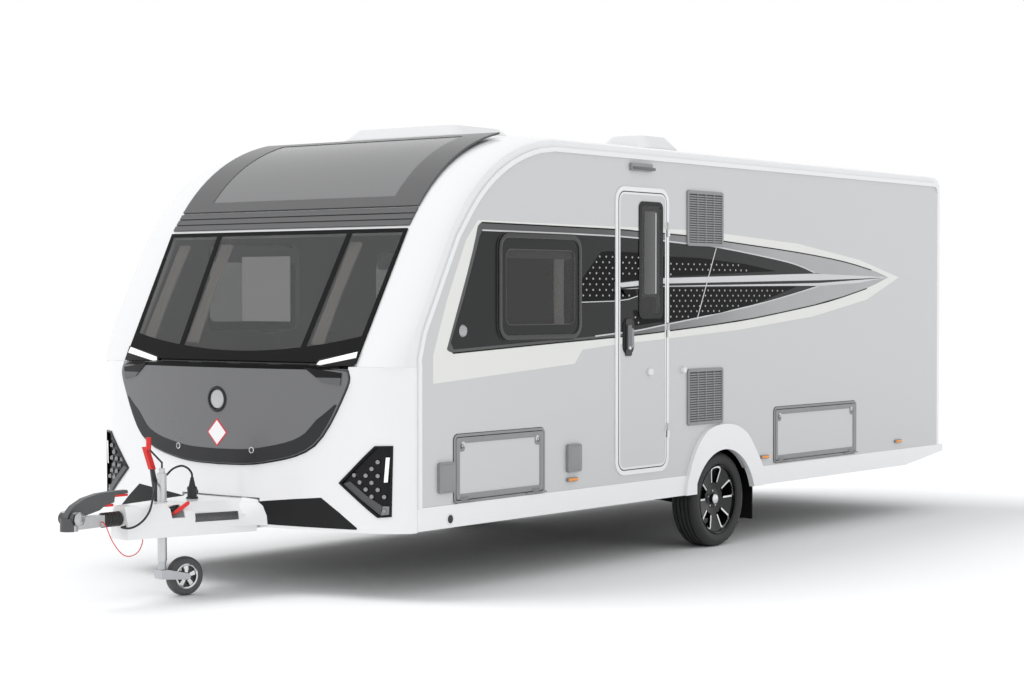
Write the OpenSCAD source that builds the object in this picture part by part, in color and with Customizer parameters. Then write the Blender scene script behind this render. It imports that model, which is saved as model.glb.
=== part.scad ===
// Single-axle travel caravan, standing parked on its two road wheels and its jockey wheel.
// Lengths are millimetres. Inside the modules X runs forward from the axle, Y runs to the
// door side and Z runs up from the ground. placed() then shifts X to the middle of the whole.

/* [Body shell] */
// Rear face of the body, measured from the axle
rear_x = -3050; // [-3150:10:-2950]
// Nose of the gas locker lid, measured from the axle
nose_x = 3273; // [3250:1:3300]
// Width over the side walls
body_w = 2284; // [2260:2:2310]
// Height of the flat roof
roof_z = 2480; // [2470:2:2500]
// Thickness of the sandwich walls and doors
wall_t = 32; // [26:1:38]
// Thickness of the moulded front, rear and roof panels
skin_t = 24; // [18:1:28]
// Return of the moulded panels along the side walls
lip = 34; // [32:1:40]
// Lower edge of the side walls
wall_z = 475; // [470:1:480]
// Height of the floor's upper face
floor_z = 500; // [498:1:510]
// Thickness of the floor
floor_t = 45; // [35:1:50]
// Radius of the front panel seen from above
bow_r = 3850; // [3700:50:4200]
// Run of the rounded corner across the width
corner_run = 237; // [220:1:250]

/* [Front glazing] */
// Foot of the raked front windows, ahead of the axle
sill_x = 3135; // [3125:1:3140]
// Height of the foot of the front windows
sill_z = 1200; // [1195:1:1205]
// Head of the front windows, ahead of the axle
head_x = 2740; // [2720:1:2760]
// Height of the head of the front windows
head_z = 1930; // [1920:1:1940]
// Half width of the front glazing
glass_half_w = 890; // [860:1:895]
// Width of the black bars between the front panes
mullion_w = 34; // [28:1:40]
// Thickness of the window panes
pane_t = 5; // [4:1:6]

/* [Door] */
// Rear edge of the doorway, ahead of the axle
door_x0 = 669; // [660:1:680]
// Front edge of the doorway, ahead of the axle
door_x1 = 1177; // [1165:1:1190]
// Foot of the doorway
door_z0 = 547; // [540:1:555]
// Head of the doorway
door_z1 = 2175; // [2160:1:2190]
// Running gap around doors and lids
door_gap = 6; // [5:1:8]
// Distance of the door hinge outside the wall
hinge_out = 14; // [13:1:17]

/* [Road wheels] */
// Radius of the tyres
tyre_r = 295; // [288:1:300]
// Width of the tyres
tyre_w = 186; // [175:1:195]
// Radius of the rim under the tyre bead
rim_r = 212; // [206:1:216]
// Distance of the tyre inside the wall face
tyre_in = 30; // [24:1:40]
// Radius of the stub axle
stub_r = 17.5; // [15:0.5:20]

/* [Skirts] */
// Lower edge of the side skirts
skirt_z = 355; // [350:1:365]
// Thickness of the side skirts
skirt_t = 14; // [10:1:18]
// How far the wheel arch mouldings stand out
arch_out = 26; // [24:1:28]

/* [Drawbar] */
// Tip of the coupling, ahead of the axle
tip_x = 4339; // [4300:1:4380]
// Half width of the drawbar cover at the body
cover_w0 = 285; // [270:1:295]
// Half width of the drawbar cover at the nose
cover_w1 = 62; // [56:1:70]
// Nose of the drawbar cover, ahead of the axle
cover_x1 = 3965; // [3950:1:3975]
// Top of the drawbar cover
cover_z1 = 497; // [490:1:505]
// Lower edge of the drawbar cover
cover_z0 = 328; // [320:1:335]
// Radius of the coupling's ball socket
socket_r = 25.3; // [25.1:0.1:26]

/* [Jockey wheel] */
// Jockey tube, ahead of the axle
jockey_x = 3672; // [3660:1:3685]
// Outer radius of the jockey tube
jockey_r = 24; // [22:0.5:26]
// Radius of the jockey wheel
jockey_wheel_r = 102; // [95:1:108]
// Trail of the jockey wheel behind its tube
jockey_trail = 130; // [128:1:136]
// Angle at which the castor rests
castor_turn = 14; // [0:1:25]

/* [Steadies] */
// Length of a corner steady leg
leg_l = 440; // [420:5:460]
// Height of the steady pivots
leg_z = 385; // [380:1:392]

/* [Hidden] */
$fn = 48;
fit = 0.3;
hw = body_w / 2;
rear_end_x = rear_x - 12;
mid_x = (tip_x + rear_end_x) / 2;
in_y = hw - wall_t;
flat_y = hw - corner_run;

// Placing and drawing helpers

module placed() {
    translate([-mid_x, 0, 0]) children();
}

module both_sides() {
    children();
    mirror([0, 1, 0]) children();
}

// Stands an outline of X and Z up and gives it thickness t outwards from y0
module slab_y(y0, t) {
    translate([0, y0 + t, 0]) rotate([90, 0, 0]) linear_extrude(t) children();
}

// Stands an outline of Y and Z up and gives it thickness t forwards from x0
module slab_x(x0, t) {
    translate([x0, 0, 0]) rotate([90, 0, 90]) linear_extrude(t) children();
}

module round_rect(x0, x1, z0, z1, r) {
    translate([x0 + r, z0]) square([x1 - x0 - 2 * r, z1 - z0]);
    translate([x0, z0 + r]) square([x1 - x0, z1 - z0 - 2 * r]);
    for (x = [x0 + r, x1 - r], z = [z0 + r, z1 - r])
        translate([x, z]) circle(r);
}

module rod_y(x, z, y0, y1, r, $fn = $fn) {
    translate([x, y0, z]) rotate([-90, 0, 0]) cylinder(r = r, h = y1 - y0);
}

module rod_x(x0, x1, y, z, r) {
    translate([x0, y, z]) rotate([0, 90, 0]) cylinder(r = r, h = x1 - x0);
}

// The moulded end panels: sections of a crowned, round-cornered band, swept along a profile.
// A station is [x, z, normal x, normal z, corner depth, crown].

crown = 0.0000237;
corner_steps = 8;
sill_depth = sill_x - (nose_x - 11) + hw * hw / 2 / bow_r + 83;
roof_depth = 25;
front_joint_x = sill_x - sill_depth - lip;

function across(half, flat, n) = concat(
    [for (i = [0 : corner_steps]) -flat - (half - flat) * sin(90 - 90 * i / corner_steps)],
    [for (i = [1 : n - 1]) -flat + 2 * flat * i / n],
    [for (i = [0 : corner_steps]) flat + (half - flat) * sin(90 * i / corner_steps)]);

function drop(y, half, flat, depth, k) = k * y * y + (abs(y) <= flat ? 0 :
    depth * (1 - sqrt(max(0, 1 - pow((abs(y) - flat) / (half - flat), 2)))));

function out_ring(s, n) = concat(
    [[-hw, s[5] * hw * hw + s[4] + lip]],
    [for (y = across(hw, flat_y, n)) [y, drop(y, hw, flat_y, s[4], s[5])]],
    [[hw, s[5] * hw * hw + s[4] + lip]]);

function in_ring(s, n, t) = concat(
    [[-hw + t, s[5] * hw * hw + s[4] + lip]],
    [for (y = across(hw - t, flat_y, n)) [y, t + drop(y, hw - t, flat_y, s[4], s[5])]],
    [[hw - t, s[5] * hw * hw + s[4] + lip]]);

function back_to_front(v) = [for (i = [len(v) - 1 : -1 : 0]) v[i]];

function station_points(s, ring) =
    [for (p = ring) [s[0] - s[2] * p[1], p[0], s[1] - s[3] * p[1]]];

module end_panel(stations, n, t) {
    m = len(out_ring(stations[0], n));
    last = len(stations) - 1;
    points = [for (s = stations) each concat(
        station_points(s, out_ring(s, n)), station_points(s, in_ring(s, n, t)))];
    function at(i, j) = i * 2 * m + j;
    faces = concat(
        [for (i = [0 : last - 1], j = [0 : m - 2]) each [
            [at(i, j), at(i, j + 1), at(i + 1, j + 1)],
            [at(i, j), at(i + 1, j + 1), at(i + 1, j)]]],
        [for (i = [0 : last - 1], j = [0 : m - 2]) each [
            [at(i, m + j), at(i + 1, m + j + 1), at(i, m + j + 1)],
            [at(i, m + j), at(i + 1, m + j), at(i + 1, m + j + 1)]]],
        [for (i = [0 : last - 1]) each [
            [at(i, 0), at(i + 1, 0), at(i + 1, m), at(i, m)],
            [at(i, m - 1), at(i, 2 * m - 1), at(i + 1, 2 * m - 1), at(i + 1, m - 1)]]],
        [for (j = [0 : m - 2]) [at(0, j), at(0, m + j), at(0, m + j + 1), at(0, j + 1)]],
        [for (j = [0 : m - 2])
            [at(last, j), at(last, j + 1), at(last, m + j + 1), at(last, m + j)]]);
    polyhedron(points, faces);
}

// Front profile: window plane, brow and the curve of the panoramic roof window

rake = atan2(sill_x - head_x, head_z - sill_z);
glass_l = (head_z - sill_z) / cos(rake);
brow = [head_x - 83, head_z + 108];
bend = [head_x - 340, head_z + 440];
crest = [head_x - 779, roof_z - 18];
roof_x = head_x - 940;
sunroof_steps = 12;

function up_glass(s) = [sill_x - s * sin(rake), sill_z + s * cos(rake)];
function arc_at(t) = (1 - t) * (1 - t) * brow + 2 * t * (1 - t) * bend + t * t * crest;
function unit(v) = v / norm(v);
function arc_out(t) = let (d = unit((1 - t) * (bend - brow) + t * (crest - bend))) [d[1], -d[0]];
function arc_station(t) = concat(arc_at(t), arc_out(t),
    [60 - (60 - roof_depth) * t, crown * t]);

front_stations = concat(
    [[sill_x, sill_z, 1, 0, sill_depth, 0],
     concat(up_glass(113), [cos(rake), sin(rake), 85, 0]),
     concat(up_glass(250), [cos(rake), sin(rake), 55, 0]),
     [head_x, head_z, cos(rake + 4.5), sin(rake + 4.5), 58, 0]],
    [for (i = [0 : sunroof_steps]) arc_station(i / sunroof_steps)],
    [[roof_x, roof_z, 0, 1, roof_depth, crown]]);

// Rear profile: upright, then rounded over into the roof

rear_z = wall_z;
valance_z = 426;
rear_bend = 150;
rear_depth = 60;
rear_steps = 5;
rear_stations = concat(
    [[rear_x, rear_z, -1, 0, rear_depth, 0]],
    [for (i = [0 : rear_steps]) let (a = 90 * i / rear_steps, f = i / rear_steps)
        [rear_x + rear_bend * (1 - cos(a)), roof_z - rear_bend * (1 - sin(a)),
         -cos(a), sin(a), rear_depth - (rear_depth - roof_depth) * f, crown * f]]);

function joint(s, gap) = let (d = s[5] * hw * hw + s[4] + lip + gap)
    [s[0] - s[2] * d, s[1] - s[3] * d];

roof_joint_z = roof_z - crown * hw * hw - roof_depth - lip;

// Lower front, seen from above

panel_x = nose_x - 11;
function plan_x(y, x0) = x0 - y * y / 2 / bow_r;
function plan_ring(x0, half, flat, n) = [for (y = across(half, flat, n))
    [plan_x(y, x0) - drop(y, half, flat, 83, 0), y]];

// The filled plan of the front, inset by d from the panel face
module front_plan(d, back = front_joint_x) {
    pts = plan_ring(panel_x - d, hw - max(d, 0), flat_y, 24);
    polygon(concat(pts, [[back, hw - max(d, 0)], [back, -hw + max(d, 0)]]));
}

module front_band(d0, d1, z0, z1) {
    translate([0, 0, z0]) linear_extrude(z1 - z0) difference() {
        front_plan(d0);
        front_plan(d1, front_joint_x - 100);
    }
}

// Gas locker lid outline seen from the front, grown by g

lid_half = hw - 302;

module lid_outline(g) {
    low = smooth([[0, 673 - g], [319 + g / 4, 691 - g], [lid_half - 196 + g / 2, 793 - g],
        [lid_half - 8 + g, 1085 - g / 4], [lid_half + g, sill_z - 25 + g]], 5);
    half = concat(low, [[lid_half - 217, sill_z + 2 + g], [0, sill_z + 2 + g]]);
    polygon(concat(half, [for (i = [len(half) - 2 : -1 : 1]) [-half[i][0], half[i][1]]]));
}

module pod_outline(g) {
    polygon([[hw - 353 - 2 * g, 602], [hw - 152 - g, 798 + g], [hw - 66 + g, 800 + g],
        [hw - 73 + g, 437 - g], [hw - 138 - g, 431 - g]]);
}

module grille_outline(g) {
    polygon([[cover_w0 + 35 - g, 480 + g], [hw - 502, 518 + g], [hw - 270 + 2 * g, 366 - g],
        [cover_w0 + 50 - g, 366 - g]]);
}

// Body panels

floor_x1 = 2760;
house_in = hw - 262;
house_t = 5;
house_z = 655;
house_half = 390;

module floor_panel() {
    color("sienna") placed() difference() {
        translate([rear_x + 90, -in_y + fit, floor_z - floor_t])
            cube([floor_x1 - rear_x - 90, 2 * in_y - 2 * fit, floor_t]);
        both_sides() translate([-house_half - fit, house_in - fit, floor_z - floor_t - 1])
            cube([2 * house_half + 2 * fit, hw, floor_t + 2]);
    }
}

module wall_outline() {
    polygon(concat(
        [[joint(rear_stations[0], fit)[0], wall_z]],
        [for (i = [1 : rear_steps + 1]) joint(rear_stations[i], fit)],
        [for (i = [len(front_stations) - 1 : -1 : 1]) joint(front_stations[i], fit)],
        [[front_joint_x - fit, sill_z], [front_joint_x - fit, wall_z]]));
}

// Wheel arch outlines, front foot to rear foot

module arch_inner(g) {
    intersection() {
        translate([30, 245]) circle(r = 367 + g);
        translate([-318 - g, skirt_z - 30]) square([672 + 2 * g, 500]);
    }
}

module arch_outer() {
    polygon(smooth([[475, skirt_z - 20], [452, 440], [400, 560], [320, 672], [215, 742], [90, 768],
        [-40, 766], [-150, 742], [-250, 690], [-330, 606], [-400, 520], [-440, 450],
        [-440, skirt_z - 20]], 3));
}

// Openings in the walls: [x0, x1, z0, z1, corner radius]

win_side = [1564, 2296, 1339, 1889, 70];
win_lounge = [1450, 2250, 1339, 1889, 70];
win_kitchen = [-60, 720, 1420, 1860, 70];
win_bed = [-2350, -1650, 1340, 1860, 70];
win_back = [-560, 560, 1340, 1860, 90];
lock_front = [1900, 2670, 490, 825, 20];
lock_rear = [-1697, -613, 498, 832, 20];
lock_toilet = [-2600, -2250, 560, 940, 20];
vent_top = [36, 438, 1873, 2202, 16];
vent_low = [34, 431, 781, 1117, 16];

module hole(w, g) {
    round_rect(w[0] - g, w[1] + g, w[2] - g, w[3] + g, max(w[4] + g, 4));
}

module ring_of(w, g_out, g_in) {
    difference() {
        hole(w, g_out);
        hole(w, g_in);
    }
}

module side_wall_left() {
    color("gainsboro") placed() slab_y(in_y, wall_t) difference() {
        wall_outline();
        round_rect(door_x0, door_x1, door_z0, door_z1, 60);
        hole(win_side, 0);
        hole(lock_front, 0);
        hole(lock_rear, 0);
        hole(vent_top, -20);
        hole(vent_low, -20);
        arch_inner(8);
    }
}

module side_wall_right() {
    color("gainsboro") placed() slab_y(-hw, wall_t) difference() {
        wall_outline();
        for (w = [win_lounge, win_kitchen, win_bed, lock_toilet]) hole(w, 0);
        arch_inner(8);
    }
}

module roof_panel() {
    s = [0, roof_z, 0, 1, roof_depth, crown];
    outer = out_ring(s, 12);
    inner = in_ring(s, 12, skin_t);
    x0 = rear_x + rear_bend + fit;
    color("white") placed() difference() {
        slab_x(x0, roof_x - fit - x0) polygon(concat(
            [for (p = outer) [p[0], roof_z - p[1]]],
            [for (i = [len(inner) - 1 : -1 : 0]) [inner[i][0], roof_z - inner[i][1]]]));
        for (r = roof_hatches)
            translate([r[0] - r[2] / 2 + 30, r[1] - r[3] / 2 + 30, roof_z - 90])
                cube([r[2] - 60, r[3] - 60, 120]);
    }
}

module rear_panel() {
    color("white") placed() difference() {
        end_panel(rear_stations, 6, skin_t);
        slab_x(rear_x - 10, 120) hole(win_back, 0);
    }
}

module front_panel() {
    color("white") placed() {
        difference() {
            union() {
                front_band(0, skin_t, skirt_z - 5, sill_z - 14);
                front_band(0, 78, sill_z - 14, sill_z - fit);
            }
            slab_x(panel_x - 250, 300) lid_outline(door_gap + 1.5);
            translate([panel_x - 400, -lid_half - 4, sill_z - 40])
                cube([450, 2 * lid_half + 8, 60]);
            both_sides() slab_x(panel_x - 250, 300) {
                pod_outline(0);
                grille_outline(0);
            }
            translate([panel_x - 60, -cover_w0 - 6, skirt_z - 20])
                cube([100, 2 * cover_w0 + 12, cover_z1 - skirt_z + 26]);
        }
    }
}

module in_glass() {
    translate([sill_x, 0, sill_z]) rotate([0, -rake, 0]) children();
}

glass_s0 = 16;
glass_s1 = glass_l - 14;

// Foot of the panes at y, lowest in the middle
function pane_foot(y) = 74 + 0.00014 * y * y;

module glass_field(g) {
    polygon([[-glass_half_w + 28 - g, glass_s0 - g], [glass_half_w - 28 + g, glass_s0 - g],
        [glass_half_w + g, glass_s1 + g], [-glass_half_w - g, glass_s1 + g]]);
}

// A pane between the edges y0 and y1 at its foot and y2 and y3 at its head
module pane(y0, y1, y2, y3, g) {
    n = 8;
    polygon(concat(
        [for (i = [0 : n]) let (y = y0 - g + (y1 - y0 + 2 * g) * i / n) [y, pane_foot(y) - g]],
        [[y3 + g, glass_s1 - 22 + g], [y2 - g, glass_s1 - 22 + g]]));
}

module pane_field(g) {
    m0 = 458;
    m1 = 492;
    h = mullion_w / 2;
    pane(-m0 + h, m0 - h, -m1 + h, m1 - h, g);
    both_sides_flat_x() pane(m0 + h, glass_half_w - 50, m1 + h, glass_half_w - 22, g);
}

module both_sides_flat_x() {
    children();
    mirror([1, 0]) children();
}

sun_a = 1;
sun_b = sunroof_steps - 1;
sun_half = 690;

// Band over the roof window's curve, from station a to station b, between two depths
module curve_band(a, b, d0, d1) {
    polygon(concat(
        [for (i = [a : b]) let (s = arc_station(i / sunroof_steps))
            [s[0] + s[2] * d1, s[1] + s[3] * d1]],
        [for (i = [b : -1 : a]) let (s = arc_station(i / sunroof_steps))
            [s[0] + s[2] * d0, s[1] + s[3] * d0]]));
}

module front_surround() {
    color("white") placed() difference() {
        end_panel(back_to_front(front_stations), 8, skin_t);
        in_glass() slab_x(-60, 90) glass_field(-24);
        slab_y(-sun_half, 2 * sun_half) curve_band(sun_a, sun_b, -80, 30);
    }
}

// Black frame of the front windows, the ribbed trim above it and the roof window's frame
module front_window_frame() {
    color("black") placed() {
        in_glass() slab_x(fit, 9) difference() {
            glass_field(0);
            pane_field(0);
        }
        brow_trim();
        difference() {
            slab_y(-glass_half_w, 2 * glass_half_w)
                curve_band(0, sunroof_steps, fit, 12);
            slab_y(-sun_half, 2 * sun_half) curve_band(sun_a, sun_b, -2, 20);
        }
    }
}

module brow_trim() {
    n = 3;
    d = unit(brow - [head_x, head_z]);
    out = [d[1], -d[0]];
    l = norm(brow - [head_x, head_z]);
    function on(s, h) = [head_x, head_z] + s * d + h * out;
    ribs = [for (i = [0 : n - 1]) each let (s = 6 + (l - 12) * i / n, w = (l - 12) / n) [
        on(s, 3), on(s, 10), on(s + w * 0.8, 10), on(s + w * 0.8, 3)]];
    slab_y(-glass_half_w, 2 * glass_half_w)
        polygon(concat([on(6, fit)], ribs, [on(l - 6, 3), on(l - 6, fit)]));
}

module front_window_panes() {
    color("dimgray") placed() {
        in_glass() slab_x(2, pane_t) pane_field(-fit);
        slab_y(-sun_half + fit, 2 * (sun_half - fit))
            curve_band(sun_a, sun_b, 4, 4 + pane_t);
    }
}

// A hinged acrylic window with its raised frame
module window_unit(w) {
    slab_y(hw + fit, 9) hole(w, 14);
    slab_y(hw + fit, 13) ring_of(w, 14, -12);
}

module wall_windows() {
    color("dimgray") placed() {
        window_unit(win_side);
        mirror([0, 1, 0]) for (w = [win_lounge, win_kitchen, win_bed]) window_unit(w);
        slab_x(rear_x - 9 - fit, 9) hole(win_back, 14);
    }
}

module awning_rails() {
    rail = 26;
    s = concat(
        [for (i = [len(rear_stations) - 1 : -1 : 1]) rear_stations[i]]);
    line = concat(
        [[front_joint_x, skirt_z + 120]],
        [for (i = [0 : len(front_stations) - 1]) joint(front_stations[i], 0)],
        [for (p = s) joint(p, 0)]);
    back = concat(
        [[front_joint_x - rail, skirt_z + 120]],
        [for (i = [0 : len(front_stations) - 1]) joint(front_stations[i], rail)],
        [for (p = s) joint(p, rail)]);
    color("white") placed() both_sides() slab_y(hw + fit, 12)
        polygon(concat(line, [for (i = [len(back) - 1 : -1 : 0]) back[i]]));
}

// Studded recess with its rim and a slim running lamp
module corner_pods() {
    color("dimgray") placed() both_sides() {
        intersection() {
            front_band(-6, skin_t, 400, 820);
            slab_x(panel_x - 300, 320) difference() {
                pod_outline(-fit);
                pod_outline(-9);
            }
        }
        intersection() {
            front_band(10, skin_t, 400, 820);
            slab_x(panel_x - 300, 320) pod_outline(-8);
        }
        intersection() {
            front_band(-3, 12, 560, 760);
            slab_x(panel_x - 300, 320)
                polygon([[hw - 109, 610], [hw - 86, 611], [hw - 77, 744], [hw - 99, 743]]);
        }
    }
}

module front_grilles() {
    color("black") placed() both_sides() intersection() {
        front_band(8, skin_t, skirt_z, 560);
        slab_x(panel_x - 300, 320) grille_outline(-fit);
    }
}

// Gas locker behind the lid, open to the front

tub_x0 = floor_x1 + 10;
tub_t = 12;

// Lid hinge axis along the foot of the windows

lid_axis = [sill_x + 8, sill_z + 1];
knuckle_r = 6;

// Gas locker behind the lid, open to the front, and the fixed half of the lid's hinge above it
module gas_locker() {
    color("whitesmoke") placed() {
        difference() {
            intersection() {
                translate([tub_x0, -860, wall_z]) cube([700, 1720, sill_z - 30 - wall_z]);
                translate([0, 0, wall_z]) linear_extrude(sill_z)
                    front_plan(skin_t + fit, tub_x0 - 10);
            }
            translate([tub_x0 + tub_t, -860 + tub_t, wall_z + 2 * tub_t])
                cube([700, 1720 - 2 * tub_t, sill_z - 42 - wall_z - 2 * tub_t]);
            translate([panel_x - 110, -cover_w0 - 8, wall_z - 1])
                cube([200, 2 * cover_w0 + 16, cover_z1 - wall_z + 10]);
        }
        translate([sill_x - 22, -760, sill_z - 8]) cube([20, 1520, 8 - fit]);
        for (y = [-600 : 300 : 600]) {
            rod_y(lid_axis[0], lid_axis[1], y - 50, y + 50, knuckle_r);
            translate([sill_x - 6, y - 50, sill_z - 8]) cube([10, 100, 8 - fit]);
        }
    }
}

lid_t = 22;

module gas_locker_lid() {
    color("darkgray") placed() {
        intersection() {
            front_band(-11, lid_t - 11, 600, 1300);
            slab_x(panel_x - 150, 300) lid_outline(0);
        }
        intersection() {
            translate([lid_axis[0] + knuckle_r + 2, -780, sill_z - 10]) cube([150, 1560, 12]);
            translate([0, 0, sill_z - 20]) linear_extrude(40) front_plan(lid_t - 12);
        }
        for (y = [-450 : 300 : 450]) {
            rod_y(lid_axis[0], lid_axis[1], y - 100 + fit, y + 100 - fit, knuckle_r);
            translate([lid_axis[0], y - 90, sill_z - 4]) cube([12, 180, 6]);
        }
    }
}

module lid_lamps() {
    color("black") placed() both_sides() intersection() {
        front_band(-17, -11 - fit, 1000, 1250);
        slab_x(panel_x - 150, 300)
            polygon([[lid_half - 250, sill_z - 4], [lid_half - 25, sill_z - 32],
                [lid_half - 32, sill_z - 96], [lid_half - 140, sill_z - 80]]);
    }
}

// Entry door, hinged at its rear edge on knuckles outside the wall

door_axis = [door_x0 - 8, hw + hinge_out];
door_knuckle_r = 8;
door_face = hw + 6;
door_win = [724, 958, 1440, 2110, 30];

module door_outline(g) {
    round_rect(door_x0 - g, door_x1 + g, door_z0 - g, door_z1 + g, 60 + g);
}

hinge_zs = [760, 1360, 1960];

module door_frame() {
    color("white") placed() {
        slab_y(hw + fit, 7) difference() {
            door_outline(26);
            door_outline(0);
            for (z = hinge_zs) translate([door_x0 - 40, z - 42]) square([60, 86]);
        }
        for (z = hinge_zs) {
            translate([door_axis[0] - 30, hw + fit, z - 40]) cube([30, 6, 40 - fit]);
            translate([door_axis[0], door_axis[1], z - 40])
                cylinder(r = door_knuckle_r, h = 40 - fit);
        }
    }
}

module entry_door() {
    y0 = hw - wall_t;
    color("white") placed() difference() {
        union() {
            slab_y(y0, door_face - y0) door_outline(-door_gap);
            for (z = hinge_zs) {
                translate([door_axis[0], door_axis[1], z]) cylinder(r = door_knuckle_r, h = 40);
                translate([door_axis[0], door_face - 4, z]) cube([24, 8, 40]);
            }
        }
        slab_y(y0 - 1, wall_t + 40) hole(door_win, 0);
    }
}

module door_window() {
    color("dimgray") placed() slab_y(door_face + fit, 5) hole(door_win, 10);
}

module door_fittings() {
    color("darkgray") placed() {
        slab_y(door_face + fit, 8) round_rect(1046, 1108, 1215, 1430, 12);
        slab_y(door_face + 8 + fit, 8) round_rect(1058, 1096, 1250, 1395, 8);
        slab_y(door_face + fit, 16) round_rect(832, 860, 1098, 1132, 8);
    }
}

// Service lockers: frame on the wall, panel flush in it, hinged along the foot

locker_rim = 5;
service_axis_y = hw + 10;
service_axis_dz = -4;
barrel_r = 4.4;
barrel_l = 60;

// Middles of the two hinges along the foot of a service door
function hinge_xs(w) = [w[0] + 70, w[1] - 70];

module locker_frame(w) {
    z = w[2] + service_axis_dz;
    slab_y(hw + fit, locker_rim) ring_of(w, 14, 0);
    for (x = hinge_xs(w), k = [-1, 1]) {
        rod_x(x + k * barrel_l - barrel_l / 2 + fit, x + k * barrel_l + barrel_l / 2 - fit,
            service_axis_y, z, barrel_r);
        translate([x + k * barrel_l - barrel_l / 2 + fit, hw + locker_rim, z - barrel_r])
            cube([barrel_l - 2 * fit, service_axis_y - hw - locker_rim, barrel_r]);
    }
}

module locker_frames() {
    color("gray") placed() {
        locker_frame(lock_front);
        locker_frame(lock_rear);
        mirror([0, 1, 0]) locker_frame(lock_toilet);
    }
}

module service_panel(w) {
    z = w[2] + service_axis_dz;
    slab_y(in_y, wall_t + 3) hole(w, -door_gap);
    for (x = hinge_xs(w)) {
        rod_x(x - barrel_l / 2, x + barrel_l / 2, service_axis_y, z, barrel_r);
        translate([x - barrel_l / 2, hw + locker_rim + 2 * fit, z])
            cube([barrel_l, service_axis_y - hw - locker_rim - 2 * fit, 24]);
        translate([x - barrel_l / 2, hw, w[2] + door_gap + 2]) cube([barrel_l, 8, 12]);
    }
    for (x = [w[0] + 60, w[1] - 60])
        slab_y(hw + 3, 6) translate([x, w[3] - 40]) circle(15);
}

module service_door_front() {
    color("gainsboro") placed() service_panel(lock_front);
}

module service_door_rear() {
    color("gainsboro") placed() service_panel(lock_rear);
}

module service_door_toilet() {
    color("gainsboro") placed() mirror([0, 1, 0]) service_panel(lock_toilet);
}

// Small pieces on the walls

module vent_panel(w) {
    slab_y(hw + fit, 5) hole(w, 0);
    cols = 4;
    col_w = (w[1] - w[0] - 30) / cols;
    rows = 20;
    pitch = (w[3] - w[2] - 40) / rows;
    for (c = [0 : cols - 1], r = [0 : rows - 1])
        translate([w[0] + 18 + c * col_w, hw + 5, w[2] + 22 + r * pitch])
            cube([col_w - 8, 5, pitch * 0.5]);
}

module fridge_vents() {
    color("lightgray") placed() {
        vent_panel(vent_top);
        vent_panel(vent_low);
    }
}

module wall_fittings() {
    color("lightgray") placed() {
        slab_y(hw + fit, 20) round_rect(2686, 2817, 539, 699, 16);
        slab_y(hw + fit, 20) round_rect(1555, 1685, 575, 732, 16);
        slab_y(hw + fit, 20) round_rect(838, 1058, roof_z - 184, roof_z - 140, 10);
        slab_y(hw + fit, 22) round_rect(472, 502, 1100, 1134, 8);
        both_sides() for (x = [1633, -477, -2329])
            slab_y(hw + fit, 14) round_rect(x - 50, x + 50, 522, 544, 10);
    }
}

// Skirts with the wheel arch mouldings

module skirt_line() {
    polygon([[rear_x + 2, valance_z], [-2450, skirt_z], [front_joint_x, skirt_z],
        [front_joint_x, wall_z - fit], [rear_x + 2, wall_z - fit]]);
}

module side_skirts() {
    color("white") placed() both_sides() {
        difference() {
            union() {
                slab_y(hw - skirt_t + 4, skirt_t) skirt_line();
                slab_y(hw + fit, arch_out - fit) intersection() {
                    arch_outer();
                    translate([-600, skirt_z]) square([1200, 600]);
                }
            }
            slab_y(hw - 60, 120) arch_inner(0);
        }
    }
    color("white") placed() slab_x(rear_x, skirt_t)
        translate([-hw + skirt_t, valance_z])
            square([2 * (hw - skirt_t), wall_z - fit - valance_z]);
}

module wheel_housings() {
    color("black") placed() both_sides() {
        slab_y(house_in, in_y - fit - house_in) difference() {
            translate([-house_half, 400]) square([2 * house_half, house_z - 400]);
            translate([-house_half + house_t, 390])
                square([2 * (house_half - house_t), house_z - house_t - 390]);
        }
        slab_y(house_in, house_t) translate([-house_half, 400])
            square([2 * house_half, house_z - 400]);
        translate([-house_half - 5, house_in, 140])
            cube([6, in_y - fit - house_in, floor_z - floor_t - fit - 140]);
    }
}

// Rear end

module tail_lamps() {
    color("firebrick") placed() both_sides()
        slab_x(rear_x - 12, 12 - fit) round_rect(720, 880, 560, 900, 24);
}

module rear_fittings() {
    color("white") placed() {
        slab_x(rear_x - 10, 10 - fit) difference() {
            round_rect(-330, 330, 640, 830, 20);
            round_rect(-265, 265, 680, 795, 6);
        }
        slab_x(rear_x - 4, 4 - fit) round_rect(-262, 262, 682, 793, 4);
        both_sides() {
            for (z = [1120, 1290])
                slab_x(rear_x - 10, 10 - fit) round_rect(830, 858, z - 14, z + 14, 8);
        }
        slab_x(rear_x - 8, 8 - fit) round_rect(-120, 120, roof_z - 300, roof_z - 275, 8);
    }
}

// Roof hatches: [x, y, length, width, height]

roof_hatches = [[1510, 0, 560, 900, 75], [-60, 450, 400, 400, 105], [-1900, 0, 400, 400, 70]];

// A hatch dome from z0 to z1, inset by g
module hatch_form(r, g, z0, z1) {
    hull() for (k = [0, 1])
        translate([r[0], r[1], k == 0 ? z0 : z1 - 4]) linear_extrude(k == 0 ? r[4] * 0.4 : 4)
            round_rect(-r[2] / 2 + g + k * 40, r[2] / 2 - g - k * 40,
                -r[3] / 2 + g + k * 70, r[3] / 2 - g - k * 70, 70, $fn = 32);
}

module rooflights() {
    s = [0, roof_z, 0, 1, roof_depth, crown];
    color("whitesmoke") placed() difference() {
        for (r = roof_hatches) difference() {
            hatch_form(r, 0, roof_z - 14, roof_z + r[4]);
            hatch_form(r, 12, roof_z - 26, roof_z + r[4] - 9);
        }
        slab_x(rear_x, roof_x - rear_x) polygon(concat(
            [for (y = [-720 : 60 : 720]) [y, roof_z + fit - crown * y * y]],
            [[720, roof_z - 100], [-720, roof_z - 100]]));
    }
}

// Chassis

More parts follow.
